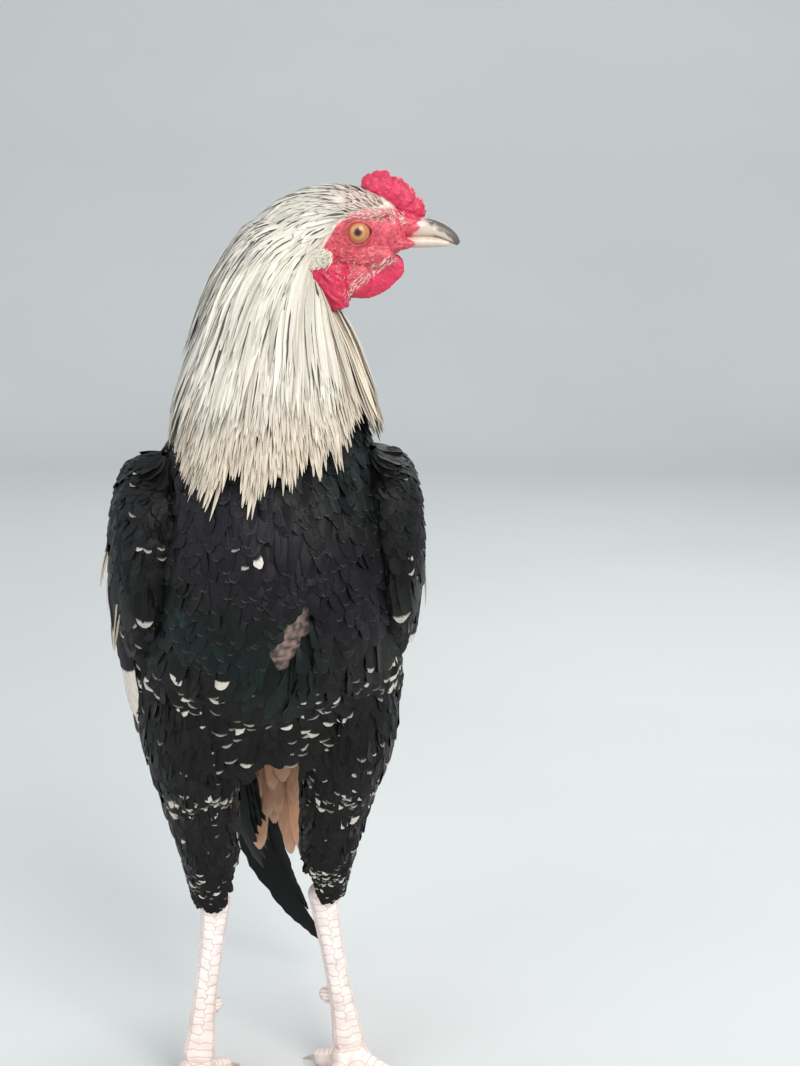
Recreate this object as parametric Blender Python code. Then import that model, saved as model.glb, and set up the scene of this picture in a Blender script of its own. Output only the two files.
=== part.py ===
"""An aseel cock standing upright, life size, facing -Y with its head turned to its left.

Metres, +Z up. The soles stand on z = 0 and the origin is under the middle of the bird.
Every node is made of closed pieces that are fused, then cut clear of the nodes it touches.
A piece function takes grow, which fattens the piece so that it can serve as that cutter.
Paired nodes are made for the bird's left and mirrored for its right.
"""

import bpy
import bmesh
import numpy as np
from mathutils import Matrix
from math import cos, pi, radians, sin

# Driving sizes of the bird, and the room that neighbouring solids keep.
GAP = 0.0004
HEIGHT_OF_EYE = 0.626
BODY_HALF_WIDTH = 0.082
STANCE_HALF_WIDTH = 0.057
HEAD_TURN = radians(80)
VANE_HALF_THICKNESS = 0.0006
ROOT_DEPTH = 0.0035

# Colour and roughness of each kind of surface.
FINISHES = {
    "black_feather": ((0.018, 0.019, 0.021), 0.42),
    "pale_feather": ((0.74, 0.69, 0.58), 0.62),
    "red_skin": ((0.62, 0.055, 0.075), 0.5),
    "horn": ((0.52, 0.42, 0.34), 0.35),
    "pale_scale": ((0.80, 0.72, 0.66), 0.5),
    "eye": ((0.62, 0.33, 0.13), 0.1),
    "ear_tuft": ((0.78, 0.74, 0.66), 0.7),
}

SIDE = (1.0, 0.0, 0.0)
FRONT = pi / 2
BACK = -pi / 2


def clear_scene():
    for obj in list(bpy.data.objects):
        bpy.data.objects.remove(obj, do_unlink=True)


def finish_material(kind):
    """The Principled material of that name, made once."""
    found = bpy.data.materials.get(kind)
    if found:
        return found
    colour, roughness = FINISHES[kind]
    material = bpy.data.materials.new(kind)
    material.use_nodes = True
    shader = material.node_tree.nodes["Principled BSDF"]
    shader.inputs["Base Color"].default_value = (*colour, 1.0)
    shader.inputs["Roughness"].default_value = roughness
    return material


def unit(vector):
    vector = np.asarray(vector, float)
    return vector / np.linalg.norm(vector, axis=-1, keepdims=True)


def curve(keys, places):
    """Rows at those places, from 0 to 1, on a Catmull-Rom curve through the rows of keys."""
    keys = np.asarray(keys, float)
    padded = np.vstack([2 * keys[0] - keys[1], keys, 2 * keys[-1] - keys[-2]])
    steps = np.asarray(places, float) * (len(keys) - 1)
    first = np.clip(np.floor(steps).astype(int), 0, len(keys) - 2)
    t = (steps - first)[:, None]
    a, b, c, d = (padded[first + k] for k in range(4))
    bend = (2 * a - 5 * b + 4 * c - d) * t**2 + (3 * b - a - 3 * c + d) * t**3
    return 0.5 * (2 * b + (c - a) * t + bend)


def solid(points, faces):
    """A closed mesh object of those triangles, facing outwards."""
    mesh = bpy.data.meshes.new("piece")
    mesh.from_pydata(np.asarray(points, float).tolist(), [], np.asarray(faces).tolist())
    work = bmesh.new()
    work.from_mesh(mesh)
    if work.calc_volume(signed=True) < 0:
        bmesh.ops.reverse_faces(work, faces=work.faces[:])
    work.to_mesh(mesh)
    work.free()
    return bpy.data.objects.new("piece", mesh)


def skinned(rings, first, last):
    """A solid of rings with a point at each end.

    The diagonals alternate round the ring, so both faces of a thin form are split alike.
    """
    count, sides = rings.shape[:2]
    points = np.vstack([rings.reshape(-1, 3), first, last])
    faces = []
    for row in range(count - 1):
        for k in range(sides):
            a, b = row * sides + k, row * sides + (k + 1) % sides
            c, d = b + sides, a + sides
            faces += [(a, b, c), (a, c, d)] if k % 2 == 0 else [(a, b, d), (b, c, d)]
    top = (count - 1) * sides
    for k in range(sides):
        following = (k + 1) % sides
        faces.append((count * sides, following, k))
        faces.append((count * sides + 1, top + k, top + following))
    return solid(points, faces)


class Tube:
    """A tapering body along a curve.

    Its keys are x, y, z, half width along side and half depth across it, and its rings are
    superellipses square to the curve. Angle 0 is along side, and a quarter turn is across it.
    """

    def __init__(self, keys, side=SIDE, power=2.0):
        self.keys = np.asarray(keys, float)
        self.side = np.asarray(side, float)
        self.power = power

    def surface(self, places, angles, lift=0.0):
        """Points lift above the tube at those places and angles, and the outward normals there."""
        places = np.asarray(places, float)
        rows = curve(self.keys, places)
        step = 0.01
        ahead = unit((curve(self.keys, places + step) - curve(self.keys, places - step))[:, :3])
        across = unit(self.side - (ahead @ self.side)[:, None] * ahead)
        up = np.cross(ahead, across)
        turn = np.stack([np.cos(angles), np.sin(angles)])
        wide, deep = np.sign(turn) * np.abs(turn) ** (2 / self.power)
        wide, deep = wide[..., None], deep[..., None]
        width, depth = rows[:, 3:4], rows[:, 4:5]
        normal = unit(wide / width * across + deep / depth * up)
        lift = np.reshape(lift, (-1, 1))
        return rows[:, :3] + wide * width * across + deep * depth * up + lift * normal, normal

    def body(self, places, sides, grow=0.0, ends=0.5, relief=None):
        """A solid of the tube, each end bulging by ends times its half depth.

        relief gives how far plates stand out, from places and angles.
        """
        angles = np.arange(sides) * 2 * pi / sides
        grid_places = np.repeat(places, sides)
        grid_angles = np.tile(angles, len(places))
        lift = grow + (relief(grid_places, grid_angles) if relief else np.zeros(len(grid_places)))
        points, _ = self.surface(grid_places, grid_angles, lift)
        tips = []
        for place, way in ((0.0, -1), (1.0, 1)):
            near, far = curve(self.keys, [place, place - way * 0.02])
            ahead = unit(near[:3] - far[:3])
            tips.append(near[:3] + ahead * (ends * near[4] + grow))
        return skinned(points.reshape(len(places), sides, 3), *tips)


def evenly(count):
    return np.linspace(0.0, 1.0, count)


def ball(centre, radii, facing=SIDE, sides=10, rows=5, grow=0.0):
    """An ellipsoid with its pole along facing; radii are along facing, across it and upright."""
    ahead = unit(facing)
    across = unit(np.cross((0, 0, 1), ahead))
    up = np.cross(ahead, across)
    down = np.linspace(0, pi, rows + 2)[1:-1][:, None]
    around = np.arange(sides) * 2 * pi / sides
    size = np.asarray(radii, float) + grow
    rings = (
        np.asarray(centre, float)
        + np.broadcast_to(np.cos(down) * size[0], (rows, sides))[..., None] * ahead
        + (np.sin(down) * np.cos(around) * size[1])[..., None] * across
        + (np.sin(down) * np.sin(around) * size[2])[..., None] * up
    )
    pole = ahead * size[0]
    return skinned(rings, centre + pole, centre - pole)


# Half width along a vane, as shares: a hackle feather is pointed and a covert is round ended.
POINTED = ((0.0, 0.62), (0.28, 1.0), (0.62, 0.80), (0.86, 0.42), (1.0, 0.0))
ROUNDED = ((0.0, 0.62), (0.30, 0.95), (0.68, 1.0), (0.90, 0.70), (1.0, 0.0))
STRAP = ((0.0, 0.60), (0.30, 0.95), (0.72, 0.95), (0.93, 0.62), (1.0, 0.0))


def vane(points, normals, half_widths, roll=0.0, camber=0.10, grow=0.0):
    """A thin feather along points, the last of them its tip, with its edges drooping by camber.

    Each ring has an edge, the back, the other edge and the underside. roll tilts it about its
    own length, so that its neighbours can lie over and under it.
    """
    ahead = unit(np.gradient(points, axis=0))
    across = unit(np.cross(ahead, normals))
    out = np.cross(across, ahead)
    across, out = cos(roll) * across + sin(roll) * out, cos(roll) * out - sin(roll) * across
    wide = (np.asarray(half_widths)[:, None] + grow)[:-1]
    thick = VANE_HALF_THICKNESS + grow
    spine, across, out = points[:-1], across[:-1], out[:-1]
    edge = spine - camber * wide * out
    rings = np.stack([edge - wide * across, spine + thick * out, edge + wide * across, spine - thick * out], 1)
    heel = points[0] - ahead[0] * (0.0005 + grow)
    return skinned(rings, heel, points[-1] + ahead[-1] * grow)


def feather(tube, span, angle, half_width, lift, shape=POINTED, swing=0.0, roll=0.0, camber=0.10, grow=0.0):
    """A vane rooted in the tube at the first place of span, that lies along it to the second.

    It rises from ROOT_DEPTH inside the tube to lift above it, and swings round it by swing.
    """
    share, width = np.asarray(shape).T
    places = span[0] + (span[1] - span[0]) * share
    rise = -ROOT_DEPTH + (lift + ROOT_DEPTH) * share**0.6
    points, normals = tube.surface(places, angle + swing * share, rise)
    return vane(points, normals, half_width * width, roll, camber, grow)


def tier(tube, count, middle, spread, span, half_width, lift, grow=0.0, **form):
    """A row of feathers over the tube from middle - spread to middle + spread."""
    angles = middle + spread * np.linspace(-1.0, 1.0, count)
    return [feather(tube, span, angle, half_width, lift, grow=grow, **form) for angle in angles]


def largest_body(mesh):
    """Keeps only the largest closed surface of a mesh."""
    work = bmesh.new()
    work.from_mesh(mesh)
    left = set(work.faces)
    shells = []
    while left:
        stack = [left.pop()]
        shell = set(stack)
        while stack:
            for edge in stack.pop().edges:
                fresh = [f for f in edge.link_faces if f not in shell]
                shell.update(fresh)
                stack += fresh
        left -= shell
        shells.append(shell)
    shells.sort(key=lambda shell: sum(f.calc_area() for f in shell))
    for scrap in shells[:-1]:
        bmesh.ops.delete(work, geom=list(scrap), context="FACES")
    loose = [v for v in work.verts if not v.link_faces]
    bmesh.ops.delete(work, geom=loose, context="VERTS")
    work.to_mesh(mesh)
    work.free()


def boolean(target, operation, operands):
    """Applies one Boolean of that operation between target and all of operands, and removes them."""
    helpers = bpy.data.collections.new("helpers")
    bpy.context.scene.collection.children.link(helpers)
    for operand in operands:
        helpers.objects.link(operand)
    modifier = target.modifiers.new(operation.lower(), "BOOLEAN")
    modifier.operation = operation
    modifier.operand_type = "COLLECTION"
    modifier.collection = helpers
    modifier.solver = "MANIFOLD"
    bpy.context.view_layer.update()
    graph = bpy.context.evaluated_depsgraph_get()
    result = bpy.data.meshes.new_from_object(target.evaluated_get(graph))
    target.modifiers.clear()
    target.data = result
    for operand in operands:
        bpy.data.objects.remove(operand, do_unlink=True)
    bpy.data.collections.remove(helpers)


def mirrored(pieces):
    """The same pieces for the other side of the bird."""
    for piece in pieces:
        piece.data.transform(Matrix.Scale(-1.0, 4, SIDE))
        piece.data.flip_normals()
    return pieces


def node(name, kind, pieces, cutters=()):
    """Fuses the pieces into one closed body, cuts it clear of the cutters and names it."""
    body = pieces[0]
    body.name = name
    bpy.context.scene.collection.objects.link(body)
    if len(pieces) > 1:
        boolean(body, "UNION", pieces[1:])
    if cutters:
        boolean(body, "DIFFERENCE", list(cutters))
    largest_body(body.data)
    body.data.name = name
    body.data.materials.clear()
    body.data.materials.append(finish_material(kind))
    body.data.shade_smooth()
    body.data.set_sharp_from_angle(angle=radians(40))
    return body


# The torso is one egg, tall in front and narrowing down and back to the root of the tail.
TORSO = Tube(
    (
        (0.0, -0.046, 0.520, 0.035, 0.031),
        (0.0, -0.041, 0.482, 0.065, 0.052),
        (0.0, -0.032, 0.432, BODY_HALF_WIDTH - 0.003, 0.074),
        (0.0, -0.016, 0.382, BODY_HALF_WIDTH, 0.083),
        (0.0, 0.014, 0.332, BODY_HALF_WIDTH - 0.008, 0.073),
        (0.0, 0.062, 0.297, 0.053, 0.049),
        (0.0, 0.100, 0.281, 0.032, 0.028),
    ),
    power=2.15,
)


# Each saddle row: number, spread from the spine, places of root and tip, half width and lift.
SADDLE_ROWS = (
    (5, radians(50), (0.62, 0.95), 0.0115, 0.0036),
    (6, radians(54), (0.50, 0.84), 0.0125, 0.0056),
    (5, radians(42), (0.36, 0.72), 0.0140, 0.0072),
)


def torso_core(grow=0.0):
    return [TORSO.body(evenly(12), 18, grow)]


def torso_pieces(grow=0.0):
    """The body with the saddle hackle that hangs over the rump in three rows, the lowest first."""
    pieces = torso_core(grow)
    for count, spread, span, half_width, lift in SADDLE_ROWS:
        pieces += tier(TORSO, count, BACK, spread, span, half_width, lift, grow, roll=0.10)
    return pieces


# The neck leaves the top of the torso and leans to the bird's left, under the turned head.
# Its core is the neck's flesh and half the depth of the coat; the hackle hangs from it in rows.
NECK = Tube(
    (
        (0.008, -0.042, 0.488, 0.050, 0.046),
        (0.007, -0.043, 0.515, 0.047, 0.042),
        (0.007, -0.045, 0.545, 0.042, 0.037),
        (0.008, -0.047, 0.575, 0.036, 0.032),
        (0.014, -0.047, 0.600, 0.032, 0.028),
        (0.026, -0.046, 0.618, 0.028, 0.023),
    )
)
# Each row: place of its roots, share of the neck that it covers, number, half width, lift of its
# tips, and how far it reaches round from the nape, which faces the bird's right.
NAPE = pi
HACKLE_ROWS = (
    (0.38, 0.44, 12, 0.0178, 0.0205, pi * 11 / 12),
    (0.56, 0.47, 11, 0.0160, 0.0175, pi * 10 / 11),
    (0.72, 0.44, 9, 0.0142, 0.0145, pi * 8 / 9),
    (0.86, 0.36, 7, 0.0132, 0.0100, radians(130)),
    (0.99, 0.32, 5, 0.0120, 0.0060, radians(72)),
)
HACKLE_FRONT_DROP = 0.16


def neck_core(grow=0.0):
    return [NECK.body(evenly(8), 14, grow, ends=0.2)]


def hackle(grow=0.0):
    """Rows of hackle feathers, longer over the breast and the back than over the shoulders."""
    pieces = []
    for row, (root, reach, count, half_width, lift, spread) in enumerate(HACKLE_ROWS):
        drop = HACKLE_FRONT_DROP if row == 0 else 0.0
        for angle in NAPE + spread * np.linspace(-1.0, 1.0, count):
            span = (root, root - reach - drop * sin(angle) ** 2)
            pieces.append(feather(NECK, span, angle, half_width, lift, roll=0.12, camber=0.14, grow=grow))
    return pieces


def neck_pieces(grow=0.0):
    return neck_core(grow) + hackle(grow)


# The head is built in its own frame, ahead along the bill, to its right and up, from between the eyes.
HEAD_AHEAD = np.array([sin(HEAD_TURN), -cos(HEAD_TURN), 0.0])
HEAD_RIGHT = np.array([-cos(HEAD_TURN), -sin(HEAD_TURN), 0.0])
HEAD_UP = np.array([0.0, 0.0, 1.0])
HEAD_CENTRE = np.array([0.061, -0.047, HEIGHT_OF_EYE])


def at_head(ahead, right, up):
    """The point that lies so far ahead, to the right and up in the head's own frame."""
    return HEAD_CENTRE + ahead * HEAD_AHEAD + right * HEAD_RIGHT + up * HEAD_UP


def head_tube(keys, power=2.0):
    """A tube in the head's frame. Its keys are ahead, right, up, half width and half depth."""
    return Tube([(*at_head(*key[:3]), *key[3:]) for key in keys], HEAD_RIGHT, power)


SKULL = head_tube(
    (
        (-0.032, 0.0, -0.008, 0.0165, 0.0180),
        (-0.022, 0.0, -0.003, 0.0195, 0.0230),
        (-0.010, 0.0, 0.000, 0.0200, 0.0255),
        (0.004, 0.0, 0.000, 0.0180, 0.0230),
        (0.018, 0.0, -0.001, 0.0140, 0.0170),
        (0.030, 0.0, -0.001, 0.0100, 0.0110),
    ),
    power=2.2,
)
EYE_RADIUS = 0.0088
EYE_OUT = 0.0118
EYE_LIFT = 0.0008


def eye_centre(side):
    return at_head(0.0, side * EYE_OUT, EYE_LIFT)


def head_pieces(grow=0.0):
    """The skull with a raised ring of skin round each eye, a brow over it and a cheek below."""
    pieces = [SKULL.body(evenly(9), 14, grow)]
    for side in (1, -1):
        pieces.append(ball(eye_centre(side), (0.0072, 0.0112, 0.0100), side * HEAD_RIGHT, 16, 5, grow))
        pieces.append(ball(at_head(0.003, side * 0.0135, 0.0108), (0.0150, 0.0052, 0.0036), HEAD_AHEAD, 8, 5, grow))
        pieces.append(ball(at_head(0.004, side * 0.0115, -0.0150), (0.0170, 0.0062, 0.0078), HEAD_AHEAD, 8, 5, grow))
    return pieces


def eye_pieces(side, grow=0.0):
    return [ball(eye_centre(side), (EYE_RADIUS,) * 3, side * HEAD_RIGHT, 14, 6, grow)]


# The bill is short and stout: a hooked upper half with a nostril flap each side, over a flatter lower half.
BILL_UPPER = head_tube(
    (
        (0.024, 0.0, 0.0005, 0.0084, 0.0072),
        (0.034, 0.0, 0.0015, 0.0078, 0.0072),
        (0.044, 0.0, 0.0005, 0.0062, 0.0062),
        (0.053, 0.0, -0.0035, 0.0042, 0.0042),
        (0.060, 0.0, -0.0078, 0.0018, 0.0020),
    )
)
BILL_LOWER = head_tube(
    (
        (0.024, 0.0, -0.0085, 0.0074, 0.0032),
        (0.036, 0.0, -0.0088, 0.0064, 0.0032),
        (0.047, 0.0, -0.0088, 0.0048, 0.0026),
        (0.055, 0.0, -0.0092, 0.0026, 0.0016),
    )
)


def bill_upper_pieces(grow=0.0):
    flaps = [
        ball(at_head(0.0375, side * 0.0062, 0.0035), (0.0055, 0.0022, 0.0020), HEAD_AHEAD, 8, 4, grow)
        for side in (1, -1)
    ]
    return [BILL_UPPER.body(evenly(8), 10, grow), *flaps]


def bill_lower_pieces(grow=0.0):
    return [BILL_LOWER.body(evenly(6), 10, grow)]


# The comb is three low ridges of rounded lobes, the middle one highest, from the bill to above the eye.
COMB_RIDGE = head_tube(
    (
        (0.0385, 0.0, 0.0085, 0.0042, 0.0044),
        (0.0290, 0.0, 0.0155, 0.0066, 0.0080),
        (0.0190, 0.0, 0.0210, 0.0074, 0.0095),
        (0.0090, 0.0, 0.0258, 0.0070, 0.0084),
        (0.0010, 0.0, 0.0285, 0.0050, 0.0046),
    )
)
COMB_LOBES = 6
COMB_SIDE_LOBES = 4


def comb_pieces(grow=0.0):
    pieces = [COMB_RIDGE.body(evenly(7), 10, grow)]
    for share in (np.arange(COMB_LOBES) + 0.5) / COMB_LOBES:
        tip, _ = COMB_RIDGE.surface([share], np.array([FRONT]), -0.0020)
        pieces.append(ball(tip[0], (0.0046, 0.0042, 0.0052), HEAD_AHEAD, 8, 4, grow))
    for side in (0, pi):
        for share in (np.arange(COMB_SIDE_LOBES) + 0.7) / COMB_SIDE_LOBES * 0.9:
            tip, _ = COMB_RIDGE.surface([share], np.array([side + radians(25) * cos(side)]), -0.0014)
            pieces.append(ball(tip[0], (0.0046, 0.0032, 0.0048), HEAD_AHEAD, 6, 3, grow))
    return pieces


# Wattles hang under the jaw; the ear lobe and its fold hang behind them, under the ear tuft.
def wattle_pieces(side, grow=0.0):
    lobe = ball(at_head(0.011, side * 0.0085, -0.0300), (0.0028, 0.0165, 0.0115), side * HEAD_RIGHT, 12, 4, grow)
    bulb = ball(at_head(0.000, side * 0.0090, -0.0345), (0.0036, 0.0085, 0.0075), side * HEAD_RIGHT, 10, 4, grow)
    return [lobe, bulb]


def earlobe_pieces(side, grow=0.0):
    """Two hanging folds of skin that join under the ear."""
    pieces = []
    for step, out in ((0.0, 0.0195), (0.0085, 0.0180)):
        fold = head_tube(
            (
                (-0.0265 + step, side * out, -0.0170, 0.0028, 0.0050),
                (-0.0265 + step, side * out, -0.0270, 0.0034, 0.0058),
                (-0.0215 + step, side * out, -0.0375, 0.0034, 0.0058),
                (-0.0125 + 0.4 * step, side * out, -0.0490, 0.0018, 0.0022),
            )
        )
        pieces.append(fold.body(evenly(5), 6, grow))
    return pieces


def ear_pieces(side, grow=0.0):
    """A small mound with a tuft of bristle feathers that point back."""
    centre = at_head(-0.0230, side * 0.0200, -0.0150)
    pieces = [ball(centre, (0.0042, 0.0062, 0.0048), side * HEAD_RIGHT, 10, 4, grow)]
    for lift in (-0.0036, 0.0, 0.0036):
        start = centre + lift * HEAD_UP
        way = -HEAD_AHEAD + 0.25 * side * HEAD_RIGHT + 60 * lift * HEAD_UP
        points = start + np.linspace(0.0, 0.0125, 5)[:, None] * unit(way)
        widths = np.array([0.0012, 0.0016, 0.0014, 0.0009, 0.0])
        pieces.append(vane(points, np.tile(side * HEAD_RIGHT, (5, 1)), widths, grow=grow))
    return pieces


# A closed wing is a long shell against the body, from the shoulder down and back to the tips.
WING = Tube(
    (
        (0.066, -0.054, 0.480, 0.011, 0.013),
        (0.076, -0.048, 0.459, 0.017, 0.033),
        (0.081, -0.026, 0.418, 0.018, 0.049),
        (0.082, 0.006, 0.376, 0.016, 0.050),
        (0.077, 0.036, 0.334, 0.011, 0.036),
        (0.070, 0.058, 0.302, 0.006, 0.016),
    )
)
FLIGHT = {"shape": STRAP, "roll": 0.10, "camber": 0.04}
COVERT = {"shape": ROUNDED, "roll": 0.09, "camber": 0.06}
# Each wing row, from the primaries and secondaries up over three tiers of coverts: form, number,
# middle angle, spread, places of root and tip, half width and lift.
WING_ROWS = (
    (FLIGHT, 4, 0.60, 0.40, (0.66, 1.10), 0.0090, 0.0024),
    (FLIGHT, 5, -0.45, 0.66, (0.48, 0.97), 0.0120, 0.0042),
    (COVERT, 6, 0.0, 1.10, (0.30, 0.68), 0.0125, 0.0060),
    (COVERT, 5, 0.0, 1.00, (0.15, 0.44), 0.0130, 0.0074),
    (COVERT, 3, 0.0, 0.80, (0.04, 0.26), 0.0140, 0.0084),
)


def wing_pieces(grow=0.0):
    """The shell of the wing with its rows of feathers, each over the roots of the one below."""
    pieces = [WING.body(evenly(8), 10, grow)]
    for form, count, middle, spread, span, half_width, lift in WING_ROWS:
        pieces += tier(WING, count, middle, spread, span, half_width, lift, grow, **form)
    return pieces


# The tail hangs steeply: a short root, a fan of stiff quill feathers, and sickles over them.
TAIL_ROOT = Tube(
    (
        (0.000, 0.098, 0.283, 0.026, 0.021),
        (0.000, 0.112, 0.266, 0.025, 0.020),
        (0.000, 0.124, 0.243, 0.020, 0.015),
    )
)
QUILL_PAIRS = 5
QUILL_LENGTH = 0.140
QUILL_HALF_WIDTH = 0.0105
LESSER_SICKLES = 3
LESSER_LENGTH = 0.150
LESSER_HALF_WIDTH = 0.0080
SICKLE_KEYS = (
    (
        (-0.003, 0.114, 0.262),
        (-0.008, 0.136, 0.215),
        (-0.010, 0.145, 0.165),
        (0.006, 0.148, 0.112),
        (0.030, 0.147, 0.068),
        (0.061, 0.143, 0.028),
    ),
    (
        (0.004, 0.116, 0.264),
        (0.008, 0.141, 0.218),
        (0.010, 0.152, 0.168),
        (0.017, 0.156, 0.120),
        (0.029, 0.155, 0.086),
        (0.044, 0.151, 0.060),
    ),
)
SICKLE_PLACES = np.array([0.0, 0.12, 0.3, 0.48, 0.66, 0.82, 0.94, 1.0])
SICKLE_WIDTHS = 0.0135 * np.array([0.55, 0.85, 1.0, 1.0, 0.92, 0.72, 0.40, 0.0])


def bent_path(start, first_way, last_way, length, count=9):
    """Points along a path of that length whose heading turns evenly from first_way to last_way."""
    share = np.linspace(0.0, 1.0, count)[:, None]
    ways = unit((1 - share) * np.asarray(first_way, float) + share * np.asarray(last_way, float))
    steps = (ways[1:] + ways[:-1]) / 2 * length / (count - 1)
    return np.vstack([start, start + np.cumsum(steps, axis=0)])


def tail_vane(path, aside, half_widths, roll=0.0, camber=0.10, grow=0.0, above=0.0):
    """A tail feather along path whose upper side faces back, turned out by aside and up by above."""
    facing = unit((aside, 1.0, 0.25 + above))
    return vane(path, np.tile(facing, (len(path), 1)), half_widths, roll, camber, grow)


def tail_pieces(grow=0.0):
    """The root, two fans of quills, the lesser sickles beside them and the two long sickles."""
    pieces = [TAIL_ROOT.body(evenly(5), 12, grow)]
    share, width = np.asarray(STRAP).T
    for side in (1, -1):
        for pair in range(QUILL_PAIRS):
            out = side * (0.35 + pair) / QUILL_PAIRS
            start = (0.016 * out, 0.112 - 0.0045 * pair, 0.262 - 0.0030 * pair)
            length = QUILL_LENGTH * (1.0 - 0.05 * pair)
            path = curve(bent_path(start, (0.42 * out, 0.52, -0.80), (0.10 * out, 0.10, -1.0), length), share)
            pieces.append(tail_vane(path, 0.9 * out, QUILL_HALF_WIDTH * width, side * -0.06, grow=grow))
        for order in range(LESSER_SICKLES):
            out = side * (0.5 + order) / LESSER_SICKLES
            start = (0.017 * out, 0.117 - 0.004 * order, 0.268 + 0.002 * order)
            length = LESSER_LENGTH - 0.018 * order
            last_way = (0.12 * out + 0.20, 0.02, -1.0)
            path = curve(bent_path(start, (0.62 * out, 0.72, -0.60), last_way, length), share)
            pieces.append(tail_vane(path, 1.1 * out, LESSER_HALF_WIDTH * width, side * -0.05, 0.10, grow, 0.2))
    for side, keys in zip((-1, 1), SICKLE_KEYS):
        pieces.append(tail_vane(curve(keys, SICKLE_PLACES), 0.55 * side, SICKLE_WIDTHS, 0.0, 0.12, grow))
    return pieces


# Each leg: a feathered thigh down to the hock, a bare scaled shank, and a foot of four toes.
THIGH = Tube(
    (
        (0.050, -0.006, 0.335, 0.032, 0.050),
        (0.0545, -0.014, 0.290, 0.0310, 0.044),
        (0.0490, -0.004, 0.238, 0.0235, 0.032),
        (0.0430, 0.008, 0.186, 0.0170, 0.022),
        (0.0390, 0.014, 0.151, 0.0140, 0.0165),
    )
)
SHANK = Tube(
    (
        (0.0388, 0.0155, 0.146, 0.0118, 0.0135),
        (0.0415, 0.0120, 0.123, 0.0096, 0.0118),
        (0.0475, 0.0075, 0.084, 0.0086, 0.0105),
        (0.0525, 0.0030, 0.050, 0.0100, 0.0110),
        (0.0565, -0.0010, 0.023, 0.0140, 0.0125),
    )
)
SHANK_SCUTES = 11
SCUTE_RISE = 0.0007
SCUTE_OVERHANG = 0.94
SPUR_PLACE = (0.0425, 0.0145, 0.066)
FOOT_HUB = np.array([STANCE_HALF_WIDTH, -0.002, 0.0135])

# Toe name: heading from straight ahead towards the outside, length, half width and scutes.
TOES = {
    "middle": (radians(4), 0.074, 0.0082, 4),
    "inner": (radians(-38), 0.056, 0.0076, 3),
    "outer": (radians(50), 0.058, 0.0074, 3),
    "hallux": (radians(-128), 0.036, 0.0068, 2),
}


def thigh_pieces(grow=0.0):
    return [THIGH.body(evenly(8), 12, grow)]


def scute_places(count, first, last):
    """Two rings for each plate, at its upper and lower edge, between those places."""
    starts = first + (last - first) * np.arange(count) / count
    step = (last - first) / count
    return np.ravel(np.column_stack([starts, starts + SCUTE_OVERHANG * step]))


def scute_relief(count, first, last, face):
    """Plates that rise to their lower edge, over the third of the ring that faces that way."""

    def relief(places, angles):
        along = (places - first) / (last - first) * count
        within = (along > -1e-6) & (along < count)
        rise = np.where(within, along - np.floor(along + 1e-6), 0.0) / SCUTE_OVERHANG
        return SCUTE_RISE * np.clip(rise, 0.0, 1.0) * (np.cos(angles - face) > 0.25)

    return relief


def shank_pieces(grow=0.0):
    first, last = 0.06, 0.97
    places = np.concatenate([[0.0], scute_places(SHANK_SCUTES, first, last), [0.985]])
    relief = scute_relief(SHANK_SCUTES, first, last, FRONT)
    shaft = SHANK.body(places, 10, grow, 0.3, relief)
    return [shaft, ball(SPUR_PLACE, (0.0060, 0.0050, 0.0050), (-1.0, 1.0, 0.1), 8, 4, grow)]


def toe(heading, length, half_width, scutes, grow=0.0):
    """One toe, from inside the foot over its joints to the tip of its claw."""
    ahead = np.array([sin(heading), -cos(heading), 0.0])
    across = np.array([-ahead[1], ahead[0], 0.0])
    keys = []
    for share, lift, wide in ((0.0, 0.0130, 1.0), (0.25, 0.0105, 0.98), (0.5, 0.0080, 0.86), (0.75, 0.0066, 0.70)):
        place = np.array([FOOT_HUB[0], FOOT_HUB[1], lift]) + ahead * share * length
        keys.append((*place, wide * half_width, lift + 0.0012))
    tip = np.array([FOOT_HUB[0], FOOT_HUB[1], 0.0032]) + ahead * length
    keys.append((*tip, 0.15 * half_width, 0.15 * half_width))
    first, last = 0.20, 0.75
    places = np.concatenate([[0.0], scute_places(scutes, first, last), [0.80, 0.90, 1.0]])
    tube = Tube(keys, across)
    top = FRONT if np.cross(ahead, across)[2] > 0 else BACK
    return tube.body(places, 8, grow, 0.6, scute_relief(scutes, first, last, top))


def foot_pieces(grow=0.0):
    hub = ball(FOOT_HUB, (0.0155, 0.0160, 0.0145), (0, -1, 0), 12, 6, grow)
    return [hub, *(toe(*form, grow=grow) for form in TOES.values())]


def ground():
    """A slab under the soles that trims them to one level."""
    mesh = bpy.data.meshes.new("ground")
    work = bmesh.new()
    bmesh.ops.create_cube(work, size=1.0)
    bmesh.ops.translate(work, verts=work.verts[:], vec=(0.0, 0.0, -0.5))
    work.to_mesh(mesh)
    work.free()
    return bpy.data.objects.new("ground", mesh)


def stand_over_origin():
    """Moves every node alike, so that the middle of the whole bird is over the origin."""
    bodies = [obj for obj in bpy.context.scene.objects if obj.type == "MESH"]
    corners = np.array([corner for body in bodies for corner in body.bound_box])
    middle = (corners.min(axis=0) + corners.max(axis=0)) / 2
    for body in bodies:
        body.location = (-middle[0], -middle[1], 0.0)


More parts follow.
